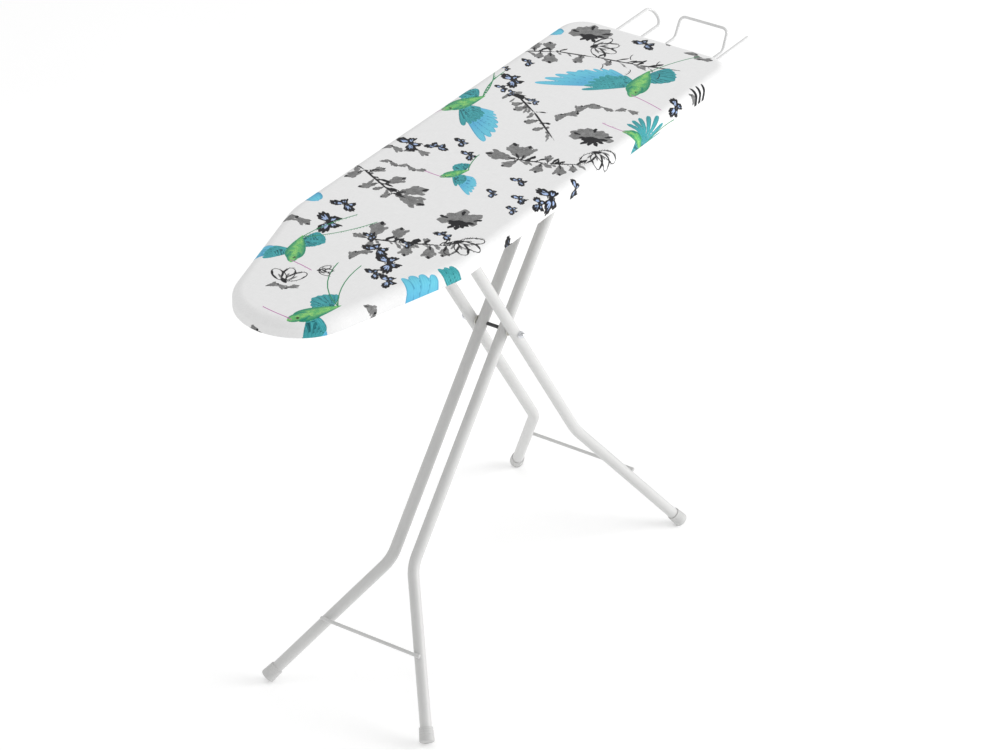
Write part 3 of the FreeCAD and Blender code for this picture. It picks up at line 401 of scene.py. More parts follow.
def sprig(stem, tips, width=0.24):
    """Leafy twig in ink: a black stem through its points, a leaf to each tip, and loose dabs."""
    stem = np.array(stem, float)
    for a, b in zip(stem[:-1], stem[1:]):
        petal(DARK, a, b + (b - a) * 0.06, 1.9, 0.15, 0.5)
    t = np.linspace(0, 1, 12)[:, None]
    fine = np.concatenate([a + (b - a) * t for a, b in zip(stem[:-1], stem[1:])])
    for tip in np.array(tips, float):
        root = fine[np.argmin(np.linalg.norm(fine - tip, axis=1))]
        line(TWIG, root, root + (tip - root) * 0.3)
        leaf(root + (tip - root) * 0.1, tip, max(np.linalg.norm(tip - root) * width * 0.8, 5.0))
    along = (stem[-1] - stem[0]) / np.linalg.norm(stem[-1] - stem[0])
    for k in range(20):
        root = fine[int(dice.integers(len(fine)))]
        swing = (-1) ** k * (28 + 34 * dice.random())
        away = turned(along, swing) * (12 + 16 * dice.random())
        half = 1.6 + 2.2 * dice.random()
        petal(DARK if k % 2 == 0 else GREY, root, root + away, half, 0.7, 0.5, 1.5)


def blossom(centre, size, turn):
    """Ink blossom: a ragged grey head, darker between its lobes, over a black heart."""
    centre = np.array(centre, float)
    for k in range(9):
        away = turned((size, 0), turn + (k - 4) * 22)
        tip = centre + away * (0.72 + 0.38 * dice.random())
        petal(GREY, centre - away * 0.2, tip, size * 0.27, 0.5, 0.38, 2.5)
        if k % 3 == 1:
            tip = centre + away * (0.85 + 0.2 * dice.random())
            petal(DARK, centre + away * 0.55, tip, size * 0.09, 0.5, 0.4, 1.5)
    for k in range(7):
        away = turned((size * 0.75, 0), turn + 180 + (k - 3) * 30)
        tip = centre + away * (0.5 + 0.5 * dice.random())
        petal(DARK, centre + away * -0.25, tip, size * 0.12, 0.5, 0.45, 2.5)


def open_flower(centre, size, turn, count=4):
    """Flower in outline: loops of thin line round its middle, each thickened by black strokes."""
    centre = np.array(centre, float)
    around = np.linspace(0, 2 * math.pi, 17)
    for k in range(count):
        axis = turned((size, 0), turn + (k - (count - 1) / 2) * 38)
        side = turned(axis, 90) * 0.24
        loop = (centre + axis * 0.55 + np.cos(around)[:, None] * axis * 0.45
                + np.sin(around)[:, None] * side)
        lines.append((TWIG, loop))
        for a, b in ((1, 4), (3, 6), (12, 14)):
            petal(DARK, loop[a], loop[b], size * 0.035, 0.5, 0.5)
        petal(GREY, centre + axis * 0.2, centre + axis * 0.62, size * 0.05, 0.5, 0.7)
    petal(DARK, centre - axis * 0.15, centre + axis * 0.28, size * 0.10)


def dabs(start, end, count, size):
    """Short brush dabs in a row, grey with black cores."""
    start, end = np.array(start, float), np.array(end, float)
    way = (end - start) / np.linalg.norm(end - start)
    for k in range(count):
        at = start + (end - start) * k / max(count - 1, 1)
        lean = turned(way, 32 * (-1) ** k)
        leaf(at - lean * size * 0.7, at + lean * size, size * 0.34)


# the print itself, all in millimetres from the middle of the board
bird((-418, 86), (-484, 58), (-412, 50), [((-520, 140), 16)],
     (-491, 18), [((-316, 58), 0.05), ((-318, 20), -0.06)])
bird((-556, -76), (-622, -40), (-556, -34), [((-668, -132), 20)],
     (-617, 12), [((-440, -36), 0.08), ((-452, -3), 0.12)])
bird((-101, -2), (-142, 20), (-98, 24), [((-164, -50), 9), ((-134, -42), 7)],
     (-141, 50), [((-50, 12), 0.05)])
bird((122, 116), (50, 142), (110, 152), [((0, 24), 17), ((54, 42), 10)],
     (12, 170), [((216, 136), 0.06), ((208, 150), -0.05)])
bird((348, -58), (262, -78), (347, -106), [((222, 80), 17), ((292, 42), 11)],
     (244, -142), [((444, -96), 0.04)])
bird((158, -182), (146, -134), (222, -150), [((120, -235), 14)],
     (151, -92), [((262, -172), 0.05)])
for tip_x, tip_y, half in ((-424, -112, 12), (-412, -122, 12), (-400, -134, 12), (-436, -106, 8)):
    petal(WING, (tip_x - 44, tip_y - 96), (tip_x, tip_y), half, 0.4, 0.4)
for shift in (0, 9, 18):
    petal(FEATHER, (-376 + shift, -196), (-384 + shift, -134 - shift / 2), 6.0, 0.5, 0.4)
    petal(DARK, (330 + shift, -200), (336 + shift * 1.5, -142 - shift / 3), 3.6, 0.4, 0.4)
    petal(DARK, (-634 + shift, -108 - shift), (-646 + shift, -62 - shift), 3.2, 0.4, 0.4)
petal(WING, (-290, 176), (-312, 132), 15, 0.6, 0.4)
petal(WING, (402, 182), (388, 134), 15, 0.6, 0.4)

for x, y, size, turn in (
    (-297, 91, 38, 80), (-357, 78, 50, 35), (-76, 121, 42, 60), (-61, 81, 32, 100),
    (-28, 57, 26, 50), (-58, 23, 28, 55), (-86, -87, 26, 70), (-142, -74, 24, 40),
    (-134, -119, 27, 60), (-170, -128, 24, 45), (-293, -86, 28, 75), (-358, 3, 24, 60),
    (-347, -56, 20, 50), (-384, -28, 38, 80), (-409, -66, 46, 45), (-446, -65, 28, 60),
    (-454, -95, 32, 40), (436, -1, 36, 75), (200, 107, 42, 50), (166, 106, 24, 60),
    (159, 84, 20, 30), (230, 140, 18, 60), (269, 122, 25, 50), (155, 40, 22, 70),
    (274, -157, 36, 30), (-99, -153, 46, 55), (-128, -150, 30, 30), (-36, -166, 28, 60),
    (-231, -186, 38, 60), (-560, 110, 26, 20),
):
    butterfly(x, y, size, turn)

sprig([(-176, 168), (-191, 129), (-229, 52)],
      [(-226, 142), (-242, 106), (-236, 84), (-176, 64), (-188, 14), (-233, -8), (-168, 107),
       (-250, 60)])
dabs((-110, 150), (-92, 90), 4, 15)
dabs((-150, 122), (-144, 60), 5, 12)
sprig([(-366, 2), (-347, -51), (-316, -112)],
      [(-366, 30), (-388, -14), (-312, 14), (-311, -20), (-316, -70), (-380, -72), (-366, -106),
       (-350, -120)])
blossom((-248, -82), 38, 20)
open_flower((-300, -112), 42, -110)
sprig([(-28, -48), (-12, -95), (16, -142)],
      [(-38, 6), (-62, -38), (14, -12), (20, -38), (12, -80), (-50, -92), (-36, -128), (-16, -140)])
blossom((96, -104), 38, 20)
open_flower((60, -132), 42, -120)
sprig([(300, 150), (330, 100), (348, 34), (362, -35), (382, -98)],
      [(344, 156), (352, 134), (332, 106), (290, 116), (286, 92), (310, 58), (342, 60), (330, 10)],
      0.3)
blossom((410, 92), 38, 20)
open_flower((378, 66), 44, -70)
for x, y, turn in ((330, 18, 200), (372, -10, 20), (338, -30, 190), (374, -58, 15),
                   (352, -76, 200)):
    away = turned((17, 0), turn)
    line(TWIG, (x, y), (x + away[0], y + away[1]), 0.1)
sprig([(156, 88), (150, 62), (120, 16), (60, -56)],
      [(124, 62), (172, 74), (128, 34), (84, 14), (94, -12), (72, -34), (68, -12), (110, 50),
       (90, -30)], 0.34)
for start, end, count, size in (
    ((126, -24), (190, -42), 4, 17), ((190, -52), (212, -108), 4, 13),
    ((-423, -8), (-405, -14), 2, 16), ((-384, 140), (-376, 118), 2, 20),
    ((-522, -112), (-524, -150), 3, 17), ((-664, 20), (-668, -4), 2, 17),
    ((-676, -30), (-672, -48), 2, 15), ((326, -160), (322, -186), 2, 17),
    ((446, -78), (440, -110), 3, 14), ((462, -6), (458, -30), 2, 10),
):
    dabs(start, end, count, size)
open_flower((-540, 30), 40, 20, 3)
dabs((-560, 40), (-548, 12), 3, 12)
open_flower((-486, 8), 22, -60, 3)


def near_to(at, order, ranked, middle, reach):
    """Numbers of the points in a box round middle; order sorts the points by x, ranked is that x."""
    low, high = np.searchsorted(ranked, (middle[0] - reach[0], middle[0] + reach[0]))
    held = order[low:high]
    return held[np.abs(at[held, 1] - middle[1]) < reach[1]]


def paint(at):
    """Signed distance, in millimetres, from every point to each layer of the print.

    A petal is |v| < W(t): t runs from root to tip, v is the distance to its axis and W(t) is
    its half width times t^a (1-t)^b, scaled to 1 at its widest. The points inside a petal
    keep its t and v / W."""
    far = 9.0
    slack = 0.6
    order = np.argsort(at[:, 0], kind="stable")
    ranked = at[order, 0]
    depth = np.full((len(at), 6), far)
    local = np.zeros((len(at), 2))
    for layer, x0, y0, x1, y1, half, a, b, lobes in sorted(petals, key=lambda p: p[0]):
        root, way = np.array([x0, y0]), np.array([x1 - x0, y1 - y0])
        reach = np.linalg.norm(way)
        near = near_to(at, order, ranked, root + way / 2, np.full(2, reach / 2 + half + far))
        if not len(near):
            continue
        off = at[near] - root
        t = off @ way / reach ** 2
        v = (off[:, 1] * way[0] - off[:, 0] * way[1]) / reach
        inside = np.clip(t, 1e-4, 1 - 1e-4)
        widest = (a / (a + b)) ** a * (b / (a + b)) ** b
        wide = half * inside ** a * (1 - inside) ** b / widest
        if lobes:
            wide = wide * (0.82 + 0.24 * np.cos(2 * math.pi * lobes * inside + np.sign(v) * 0.9))
        ends = (np.abs(t - 0.5) - 0.5) * reach
        gap = np.where(ends > 0, np.hypot(v, ends), np.abs(v) - wide)
        depth[near, layer] = np.minimum(depth[near, layer], gap)
        held = gap < slack
        local[near[held], 0] = t[held]
        local[near[held], 1] = (v / np.maximum(wide, 0.4))[held]
    return depth, local


def draw(at):
    """Signed distance, in millimetres, to the lines of each colour, and plain distance to any.

    The sign says which side of the line a point is on, so the zero between two points is
    exactly on the line, however thin it is."""
    far = 4.0
    order = np.argsort(at[:, 0], kind="stable")
    ranked = at[order, 0]
    side = np.full((len(at), 3), far)
    nearest = np.full((len(at), 3), far)
    for layer, path in lines:
        middle = (path.min(axis=0) + path.max(axis=0)) / 2
        reach = (path.max(axis=0) - path.min(axis=0)) / 2 + far
        near = near_to(at, order, ranked, middle, reach)
        if not len(near):
            continue
        for p, q in zip(path[:-1], path[1:]):
            way = q - p
            off = at[near] - p
            t = np.clip(off @ way / (way @ way), 0, 1)
            gap = np.linalg.norm(off - t[:, None] * way, axis=1)
            sign = np.where(off[:, 1] * way[0] - off[:, 0] * way[1] < 0, -1.0, 1.0)
            closer = gap < nearest[near, layer]
            spot = near[closer]
            nearest[spot, layer] = gap[closer]
            side[spot, layer] = (gap * sign)[closer]
    return side, nearest.min(axis=1)


depth, local = paint(flat_cloth)
side, nearest = draw(flat_cloth)
hidden = (len(under_top) + len(inner)) * stations
printed = {
    "print_ink": depth[:, 0:3], "print_bird": depth[:, 3:6], "print_line": side,
    "print_local": np.column_stack([local, nearest]),
    "on_cloth": np.column_stack([flat_cloth, np.zeros(len(flat_cloth))]),
}
unprinted = 9.0
for name, values in printed.items():
    whole = np.full((hidden + len(values), 3), unprinted)
    whole[hidden:] = values
    layer = cover.data.attributes.new(name, "FLOAT_VECTOR", "POINT")
    layer.data.foreach_set("vector", whole[grid_point].astype(np.float32).ravel())


def ink(red, green, blue):
    """Colour given as it looks on a screen, 0 to 255, turned into light."""
    share = np.array([red, green, blue], float) / 255.0
    light = np.where(share > 0.04045, ((share + 0.055) / 1.055) ** 2.4, share / 12.92)
    return (*light.tolist(), 1.0)


def group(name, inputs, outputs):
    """Empty node group with named number or vector sockets."""
    tree = bpy.data.node_groups.new(name, "ShaderNodeTree")
    for key, value in inputs.items():
        kind = "NodeSocketVector" if value is None else "NodeSocketFloat"
        socket = tree.interface.new_socket(key, in_out="INPUT", socket_type=kind)
        if value is not None:
            socket.default_value = value
    for key in outputs:
        tree.interface.new_socket(key, in_out="OUTPUT", socket_type="NodeSocketFloat")
    return tree, node(tree, "NodeGroupInput"), node(tree, "NodeGroupOutput")


def maths(tree, kind, a, b=0.0, c=0.0):
    """Arithmetic on numbers or sockets."""
    return node(tree, "ShaderNodeMath", {0: a, 1: b, 2: c}, operation=kind).outputs[0]


def noise(tree, vector, scale, detail=3.0, rough=0.55):
    """Cloudy value between 0 and 1."""
    inputs = {"Vector": vector, "Scale": scale, "Detail": detail, "Roughness": rough}
    return node(tree, "ShaderNodeTexNoise", inputs).outputs["Fac"]


def ramp(tree, value, low, high, to_low=0.0, to_high=1.0):
    """Value rescaled between two limits and held there."""
    inputs = {"Value": value, "From Min": low, "From Max": high, "To Min": to_low,
              "To Max": to_high}
    return node(tree, "ShaderNodeMapRange", inputs).outputs["Result"]


def blend(tree, share, below, above):
    """Colour laid over another where share is 1."""
    inputs = {"Factor": share, "A": below, "B": above}
    return node(tree, "ShaderNodeMix", inputs, data_type="RGBA").outputs["Result"]


def bump(tree, height, strength, distance):
    """Normal of a height, with its depth in metres."""
    inputs = {"Height": height, "Strength": strength, "Distance": distance}
    return node(tree, "ShaderNodeBump", inputs).outputs["Normal"]


def stretched(tree, vector, scale):
    """Coordinates scaled along each axis."""
    return node(tree, "ShaderNodeMapping", {"Vector": vector, "Scale": scale}).outputs["Vector"]


# plain weave: warp and weft threads go over and under each other, with slubs along them
threads_per_mm = 1.6
weave, start, end = group("plain_weave", {"Vector": None, "Threads": threads_per_mm},
                          ("Height", "Slub"))
turns = maths(weave, "MULTIPLY", start.outputs["Threads"], math.pi)
split = node(weave, "ShaderNodeSeparateXYZ", {"Vector": start.outputs["Vector"]})
warp = maths(weave, "SINE", maths(weave, "MULTIPLY", split.outputs["X"], turns))
weft = maths(weave, "SINE", maths(weave, "MULTIPLY", split.outputs["Y"], turns))
over = maths(weave, "MULTIPLY", warp, weft)
threads = maths(weave, "ADD", maths(weave, "ABSOLUTE", warp), maths(weave, "ABSOLUTE", weft))
height_of = maths(weave, "MULTIPLY_ADD", over, 0.35, maths(weave, "MULTIPLY", threads, 0.4))
long_way = stretched(weave, start.outputs["Vector"], (0.06, 1.3, 1.0))
cross_way = stretched(weave, start.outputs["Vector"], (1.3, 0.06, 1.0))
slub = maths(weave, "ADD", noise(weave, long_way, 1.0, 2.0), noise(weave, cross_way, 1.0, 2.0))
feed(weave, end, Height=height_of, Slub=maths(weave, "MULTIPLY", slub, 0.5))

cotton, tree, shader = finish_of("printed_cotton", Roughness=0.86, Specular_IOR_Level=0.22,
                                 Sheen_Weight=0.12, Sheen_Roughness=0.5)
attribute = {key: node(tree, "ShaderNodeAttribute", attribute_name=key) for key in printed}
on_cloth = attribute["on_cloth"].outputs["Vector"]
thread = node(tree, "ShaderNodeGroup", {"Vector": on_cloth, "Threads": threads_per_mm},
              node_tree=weave)
slubs = ramp(tree, thread.outputs["Slub"], 0.35, 0.65)
part = {key: node(tree, "ShaderNodeSeparateXYZ", {"Vector": made.outputs["Vector"]}).outputs
        for key, made in attribute.items()}
t, v, to_line = part["print_local"][0], part["print_local"][1], part["print_local"][2]
edge_noise = maths(tree, "MULTIPLY_ADD", noise(tree, on_cloth, 0.55, 4.0, 0.7), 3.4, -1.7)
fine_noise = maths(tree, "MULTIPLY_ADD", noise(tree, on_cloth, 0.9, 3.0), 1.2, -0.6)
cloud = noise(tree, on_cloth, 0.11, 4.0, 0.6)
speck = noise(tree, on_cloth, 0.75, 5.0, 0.75)


def inked(distance, rough):
    """1 where the distance to the edge, roughened, is inside the mark."""
    soft_edge = 0.28
    return ramp(tree, maths(tree, "ADD", distance, rough), soft_edge, -soft_edge)


def share_of(mask, share):
    """A mask made weaker."""
    return maths(tree, "MULTIPLY", mask, share)


paper_white = blend(tree, slubs, ink(232, 232, 232), ink(241, 241, 241))
brush = stretched(tree, attribute["print_local"].outputs["Vector"], (1.6, 5.0, 0.0))
streak = noise(tree, brush, 1.6, 4.0, 0.65)
across = maths(tree, "ABSOLUTE", v)
grey_tone = ramp(tree, maths(tree, "MULTIPLY_ADD", streak, 0.7, share_of(cloud, 0.5)), 0.42, 0.78)
grey = blend(tree, grey_tone, ink(146, 146, 146), ink(72, 72, 72))
grey = blend(tree, share_of(ramp(tree, speck, 0.60, 0.66), 0.7), grey, ink(222, 222, 222))
dark = blend(tree, ramp(tree, streak, 0.55, 0.74), ink(10, 10, 14), ink(70, 72, 80))
rim_dark = ramp(tree, across, 0.62, 1.0)
wing = blend(tree, ramp(tree, t, 0.10, 0.85), ink(58, 138, 208), ink(112, 204, 226))
wing = blend(tree, share_of(ramp(tree, streak, 0.46, 0.66), 0.55), wing, ink(62, 162, 204))
wing = blend(tree, share_of(rim_dark, 0.62), wing, ink(36, 112, 160))
feather = blend(tree, ramp(tree, streak, 0.36, 0.62), ink(20, 112, 120), ink(84, 190, 196))
feather = blend(tree, share_of(rim_dark, 0.8), feather, ink(10, 74, 82))
body = blend(tree, ramp(tree, cloud, 0.36, 0.60), ink(86, 184, 112), ink(150, 216, 118))
body = blend(tree, ramp(tree, across, 0.35, 0.95), body, ink(26, 138, 112))
body = blend(tree, ramp(tree, speck, 0.52, 0.62), body, ink(18, 116, 104))
pale = blend(tree, ramp(tree, speck, 0.40, 0.62), ink(112, 152, 220), ink(214, 226, 240))
colour = blend(tree, share_of(inked(part["print_ink"][0], edge_noise), 0.96), paper_white, grey)
colour = blend(tree, inked(part["print_ink"][1], share_of(fine_noise, 1.2)), colour, dark)
colour = blend(tree, inked(part["print_ink"][2], fine_noise), colour, wing)
for index, shade in enumerate((feather, body, pale)):
    colour = blend(tree, inked(part["print_bird"][index], fine_noise), colour, shade)
by_line = ramp(tree, to_line, 2.8, 2.4)
line_inks = ((0.85, ink(52, 140, 92)), (0.85, ink(186, 108, 170)), (0.80, ink(38, 38, 40)))
for index, (half, shade) in enumerate(line_inks):
    thin = ramp(tree, maths(tree, "ABSOLUTE", part["print_line"][index]), half + 0.2, half - 0.2)
    colour = blend(tree, maths(tree, "MULTIPLY", thin, by_line), colour, shade)
feed(tree, shader, Base_Color=colour, Roughness=ramp(tree, slubs, 0.0, 1.0, 0.82, 0.90),
     Normal=bump(tree, thread.outputs["Height"], 0.35, 0.00012))
cover.data.materials.append(cotton)
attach(cover, "board")
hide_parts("cover")

# ---------------------------------------------------------------- foam pad
# One layer of felted foam, 7 mm thick, cut to the board's outline and laid loose on the steel
# top under the cover. Its edge slopes in under the rolled edge of the cotton.
pad_low, pad_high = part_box("pad")
pad_floor = pad_low[2] + 0.0001
pad_ceiling = pad_high[2] - 0.0002
rolled_edge = top_z - round_down
pad_rise = pad_ceiling - rolled_edge
pad_edge = 0.0020
pad_flat = 0.0172
dent_depth = 0.0004
lift = np.linspace(math.asin((pad_floor - rolled_edge) / pad_rise), math.pi / 2, 8)
pad_inset = pad_flat - (pad_flat - pad_edge) * np.cos(lift)
pad_height = rolled_edge + pad_rise * np.sin(lift)


def dented(rows, depth):
    """Rows pushed down by slow waves over the pad: the sum of sines along and across it."""
    x, y = rows[:, :, 0], rows[:, :, 1]
    wave = np.sin(31 * x + 9 * y) * np.sin(47 * y - 13 * x) + 0.5 * np.sin(83 * x - 57 * y)
    rows = rows.copy()
    rows[:, :, 2] -= depth * (0.5 + wave / 3)
    return rows


pad_side = rings(place, out, pad_inset, pad_height)
shares = np.linspace(0, 1, 25)[1:]
pad_top = dented(to_spine(place, out, nose_radius, pad_flat, pad_ceiling, shares), dent_depth)
shares = np.linspace(0, 1, 12)[1:]
pad_under = to_spine(place, out, nose_radius, pad_inset[0], pad_floor, shares)
pad, _ = skin("foam_pad", np.concatenate([pad_under[::-1], pad_side, pad_top])[:, ::2])

foam, tree, shader = finish_of("felted_foam", Roughness=0.96, Specular_IOR_Level=0.15)
spot = own_place(tree)
pores = node(tree, "ShaderNodeTexVoronoi", {"Vector": spot, "Scale": 900.0}).outputs["Distance"]
fibres = noise(tree, spot, 420.0, 6.0, 0.7)
felt = blend(tree, noise(tree, spot, 24.0), ink(222, 217, 202), ink(240, 236, 224))
# painted shade: the pits of the pores are coloured darker, as shade in the foam's hollows
felt = blend(tree, ramp(tree, pores, 0.10, 0.34), ink(176, 168, 148), felt)
height_of = maths(tree, "ADD", maths(tree, "MULTIPLY", pores, 0.7),
                  maths(tree, "MULTIPLY", fibres, 0.6))
feed(tree, shader, Base_Color=felt, Normal=bump(tree, height_of, 0.6, 0.0008))
pad.data.materials.append(foam)
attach(pad, "board")
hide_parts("pad")

# ---------------------------------------------------------------- elastic hem
# The inner edge of the hem is turned over an elastic and sewn down. The elastic pulls it into
# puckers under the board, tightest round the nose and the rear corners.
casing_radius = 0.0016
casing_sides = 12


def casing(inset, radius, sides):
    """Rows round a tube that follows the hem; its radius swells and shrinks with the puckers."""
    run = np.arange(stations) / stations * 2 * math.pi
    swell = 1 - 0.20 * (0.5 + 0.5 * np.sin(300 * run + 2 * np.sin(7 * run)))
    turn = np.linspace(0, 2 * math.pi, sides + 1)
    away = inset + radius * np.cos(turn)[:, None] * swell
    flat = place[None] - out[None] * away[:, :, None]
    rise = gather([hem])[0] * 0.25
    z = skirt_z + radius + rise + radius * np.sin(turn)[:, None] * swell
    return np.concatenate([flat, z[:, :, None]], axis=2)


elastic_hem, _ = skin("elastic_hem", casing(hem + casing_radius * 0.9, casing_radius, casing_sides))
cotton_tape, tree, shader = finish_of("hem_cotton", Roughness=0.88, Specular_IOR_Level=0.2,
                                      Sheen_Weight=0.12, Sheen_Roughness=0.5)
in_mm = stretched(tree, own_place(tree), (1000.0, 1000.0, 1000.0))
thread = node(tree, "ShaderNodeGroup", {"Vector": in_mm, "Threads": threads_per_mm},
              node_tree=weave)
feed(tree, shader,
     Base_Color=blend(tree, thread.outputs["Slub"], ink(222, 222, 221), ink(242, 242, 241)),
     Normal=bump(tree, thread.outputs["Height"], 0.45, 0.00015))
elastic_hem.data.materials.append(cotton_tape)
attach(elastic_hem, "board")
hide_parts("hem_elastic")

# one row of lockstitch holds the turned edge, 3 mm outside the elastic
stitch_inset = 0.0285
stitch_pitch = 0.0040
stitch_length = 0.0031
stitch_radius = 0.00028


def stitches(inset, pitch, length, radius):
    """Short threads along the hem: each is a thin tube whose middle stands proud of the cloth.

    A stitch is a function of u along it and of an angle round it. Its radius and its height
    above the cloth both follow the square root of sin(pi u), so that its ends dive in."""
    edge = place - out * inset
    step = np.linalg.norm(np.roll(edge, -1, axis=0) - edge, axis=1)
    gone = np.concatenate([[0], np.cumsum(step)])
    count = int(gone[-1] / pitch)
    rows, sides = 5, 6
    u = np.linspace(0.02, 0.98, rows)
    at = (np.arange(count)[:, None] + (u * length / pitch)[None]) / count * gone[-1]
    closed = np.concatenate([edge, edge[:1]])
    rise = np.append(gather([inset])[0], gather([inset])[0, 0])
    x, y, z = (np.interp(at, gone, values) for values in (closed[:, 0], closed[:, 1], rise))
    side_x, side_y = (np.interp(at, gone, np.append(out[:, k], out[0, k])) for k in (0, 1))
    full = np.sqrt(np.sin(math.pi * u))[None, :, None]
    turn = (np.arange(sides) / sides * 2 * math.pi)[None, None]
    wide = radius * full * np.cos(turn)
    middle_z = skirt_z + z[:, :, None] + radius * (0.9 - 1.1 * full)
    points = np.stack([x[:, :, None] + side_x[:, :, None] * wide,
                       y[:, :, None] + side_y[:, :, None] * wide,
                       middle_z + radius * full * np.sin(turn)], axis=-1)
    grid = np.arange(count * rows * sides).reshape(count, rows, sides)
    a, d = grid[:, :-1], grid[:, 1:]
    b, c = np.roll(a, -1, axis=2), np.roll(d, -1, axis=2)
    walls = np.stack([a, b, c, d], -1).reshape(-1, 4)
    ends = np.concatenate([grid[:, 0, ::-1], grid[:, -1]])
    return points.reshape(-1, 3), walls.tolist() + ends.tolist()


hem_stitches = put_mesh("hem_stitches",
                        *stitches(stitch_inset, stitch_pitch, stitch_length, stitch_radius))
sewing, tree, shader = finish_of("sewing_thread", Roughness=0.7, Sheen_Weight=0.2)
ply = noise(tree, own_place(tree), 2600.0, 2.0)
feed(tree, shader, Base_Color=blend(tree, ply, ink(206, 206, 205), ink(238, 238, 237)),
     Normal=bump(tree, ply, 0.4, 0.0001))
hem_stitches.data.materials.append(sewing)
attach(hem_stitches, "board")

# ---------------------------------------------------------------- steel board
# Pressed steel top with steam slots, a rim strip welded under its edge, two channel rails,
# three straps and two channels for the iron rest, all powder coated in the same light grey.
patch_scale = 9.0
skin_of_coat, start, end = group("coat_skin", {"Vector": None, "Peel": 700.0, "Patch": patch_scale},
                                 ("Peel", "Patch", "Scuff"))
spot = start.outputs["Vector"]
fine_scale = maths(skin_of_coat, "MULTIPLY", start.outputs["Patch"], 9.0)
rubbed = noise(skin_of_coat, spot, fine_scale, 5.0, 0.7)
feed(skin_of_coat, end, Peel=noise(skin_of_coat, spot, start.outputs["Peel"], 2.0, 0.4),
     Patch=noise(skin_of_coat, spot, start.outputs["Patch"], 4.0, 0.6),
     Scuff=ramp(skin_of_coat, rubbed, 0.60, 0.72))


def give(material, *names):
    """Puts a finish on CAD nodes in place of what they came with."""
    for name in names:
        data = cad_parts[name].data
        data.materials.clear()
        data.materials.append(material)


def coated(name, light, shade, scuffed, shine, peel_scale, depth, **values):
    """Powder coat: even colour with slow patches, faint rubbed spots and an orange-peel skin.

    The roughness goes from shine up by a tenth with the patches."""
    material, tree, shader = finish_of(name, **values)
    inputs = {"Vector": own_place(tree), "Peel": peel_scale, "Patch": patch_scale}
    coat = node(tree, "ShaderNodeGroup", inputs, node_tree=skin_of_coat).outputs
    tone = blend(tree, ramp(tree, coat["Patch"], 0.35, 0.65), shade, light)
    tone = blend(tree, maths(tree, "MULTIPLY", coat["Scuff"], 0.35), tone, scuffed)
    rough = ramp(tree, coat["Patch"], 0.3, 0.7, shine, shine + 0.1)
    rough = maths(tree, "MULTIPLY_ADD", coat["Scuff"], 0.08, rough)
    feed(tree, shader, Base_Color=tone, Roughness=rough,
         Normal=bump(tree, coat["Peel"], 0.12, depth))
    return material


board_enamel = coated("board_enamel", ink(200, 200, 198), ink(192, 192, 190), ink(176, 176, 174),
                      shine=0.42, peel_scale=520.0, depth=0.00012)
give(board_enamel, "board_panel", "board_rim", "rail_left", "rail_right", "strap_nose",
     "strap_middle", "strap_hinge", "rest_bearer_rear", "rest_bearer_front")

# ---------------------------------------------------------------- brackets, rivets and guide rod
# Small steel parts, zinc plated and left bright: hinge and guide brackets, rivets, push nuts,
# clips, screws, the lever's pin, and the drawn rod that the slider runs on.
bloom, start, end = group("zinc_bloom", {"Vector": None, "Grain": 380.0}, ("Cell", "Bloom"))
spot, grain = start.outputs["Vector"], start.outputs["Grain"]
cell = node(bloom, "ShaderNodeTexVoronoi", {"Vector": spot, "Scale": grain}).outputs["Color"]
feed(bloom, end, Cell=node(bloom, "ShaderNodeSeparateXYZ", {"Vector": cell}).outputs["X"],
     Bloom=noise(bloom, spot, maths(bloom, "MULTIPLY", grain, 0.12), 4.0))


def plated(name, light, dull, shine, grain, **values):
    """Plated or bare metal: small crystals of slightly different shine under a cloudy bloom."""
    material, tree, shader = finish_of(name, Metallic=1.0, **values)
    inputs = {"Vector": own_place(tree), "Grain": grain}
    zinc = node(tree, "ShaderNodeGroup", inputs, node_tree=bloom).outputs
    tone = blend(tree, ramp(tree, zinc["Bloom"], 0.35, 0.65), light, dull)
    rough = ramp(tree, zinc["Bloom"], 0.35, 0.65, shine, shine + 0.12)
    rough = maths(tree, "MULTIPLY_ADD", zinc["Cell"], 0.08, rough)
    relief = bump(tree, zinc["Cell"], 0.12, 0.00005)
    feed(tree, shader, Base_Color=tone, Roughness=rough, Normal=relief)
    return material


bright_zinc = plated("bright_zinc", ink(214, 217, 222), ink(188, 190, 190), 0.24, 420.0)
give(bright_zinc, "hinge_bracket_left", "hinge_bracket_right", "hinge_rivets", "strap_rivets",
     "guide_rivets", "guide_bracket_nose", "guide_bracket_rear", "guide_rod", "rest_clips",
     "rest_screws", "hinge_push_nuts", "lever_pin")

# ---------------------------------------------------------------- legs
# Two pairs of bent round steel tubes with their top rods and braces welded on, powder coated
# light grey in a semi-gloss after welding.
leg_coat = coated("leg_coat", ink(211, 211, 210), ink(206, 206, 205), ink(190, 190, 189),
                  shine=0.34, peel_scale=620.0, depth=0.00010)
give(leg_coat, "front_leg_left", "front_leg_right", "rear_leg_left", "rear_leg_right",
     "front_top_rod", "rear_top_rod", "front_brace", "rear_brace")

# ---------------------------------------------------------------- feet
# Ringed caps of soft grey plastic on the tube ends, darker in patches towards their bottom ends.
mould_face, start, end = group("mould_grain", {"Vector": None, "Grain": 1800.0}, ("Grain", "Patch"))
spot, grain = start.outputs["Vector"], start.outputs["Grain"]
feed(mould_face, end, Grain=noise(mould_face, spot, grain, 3.0, 0.5),
     Patch=noise(mould_face, spot, maths(mould_face, "MULTIPLY", grain, 0.03), 4.0))


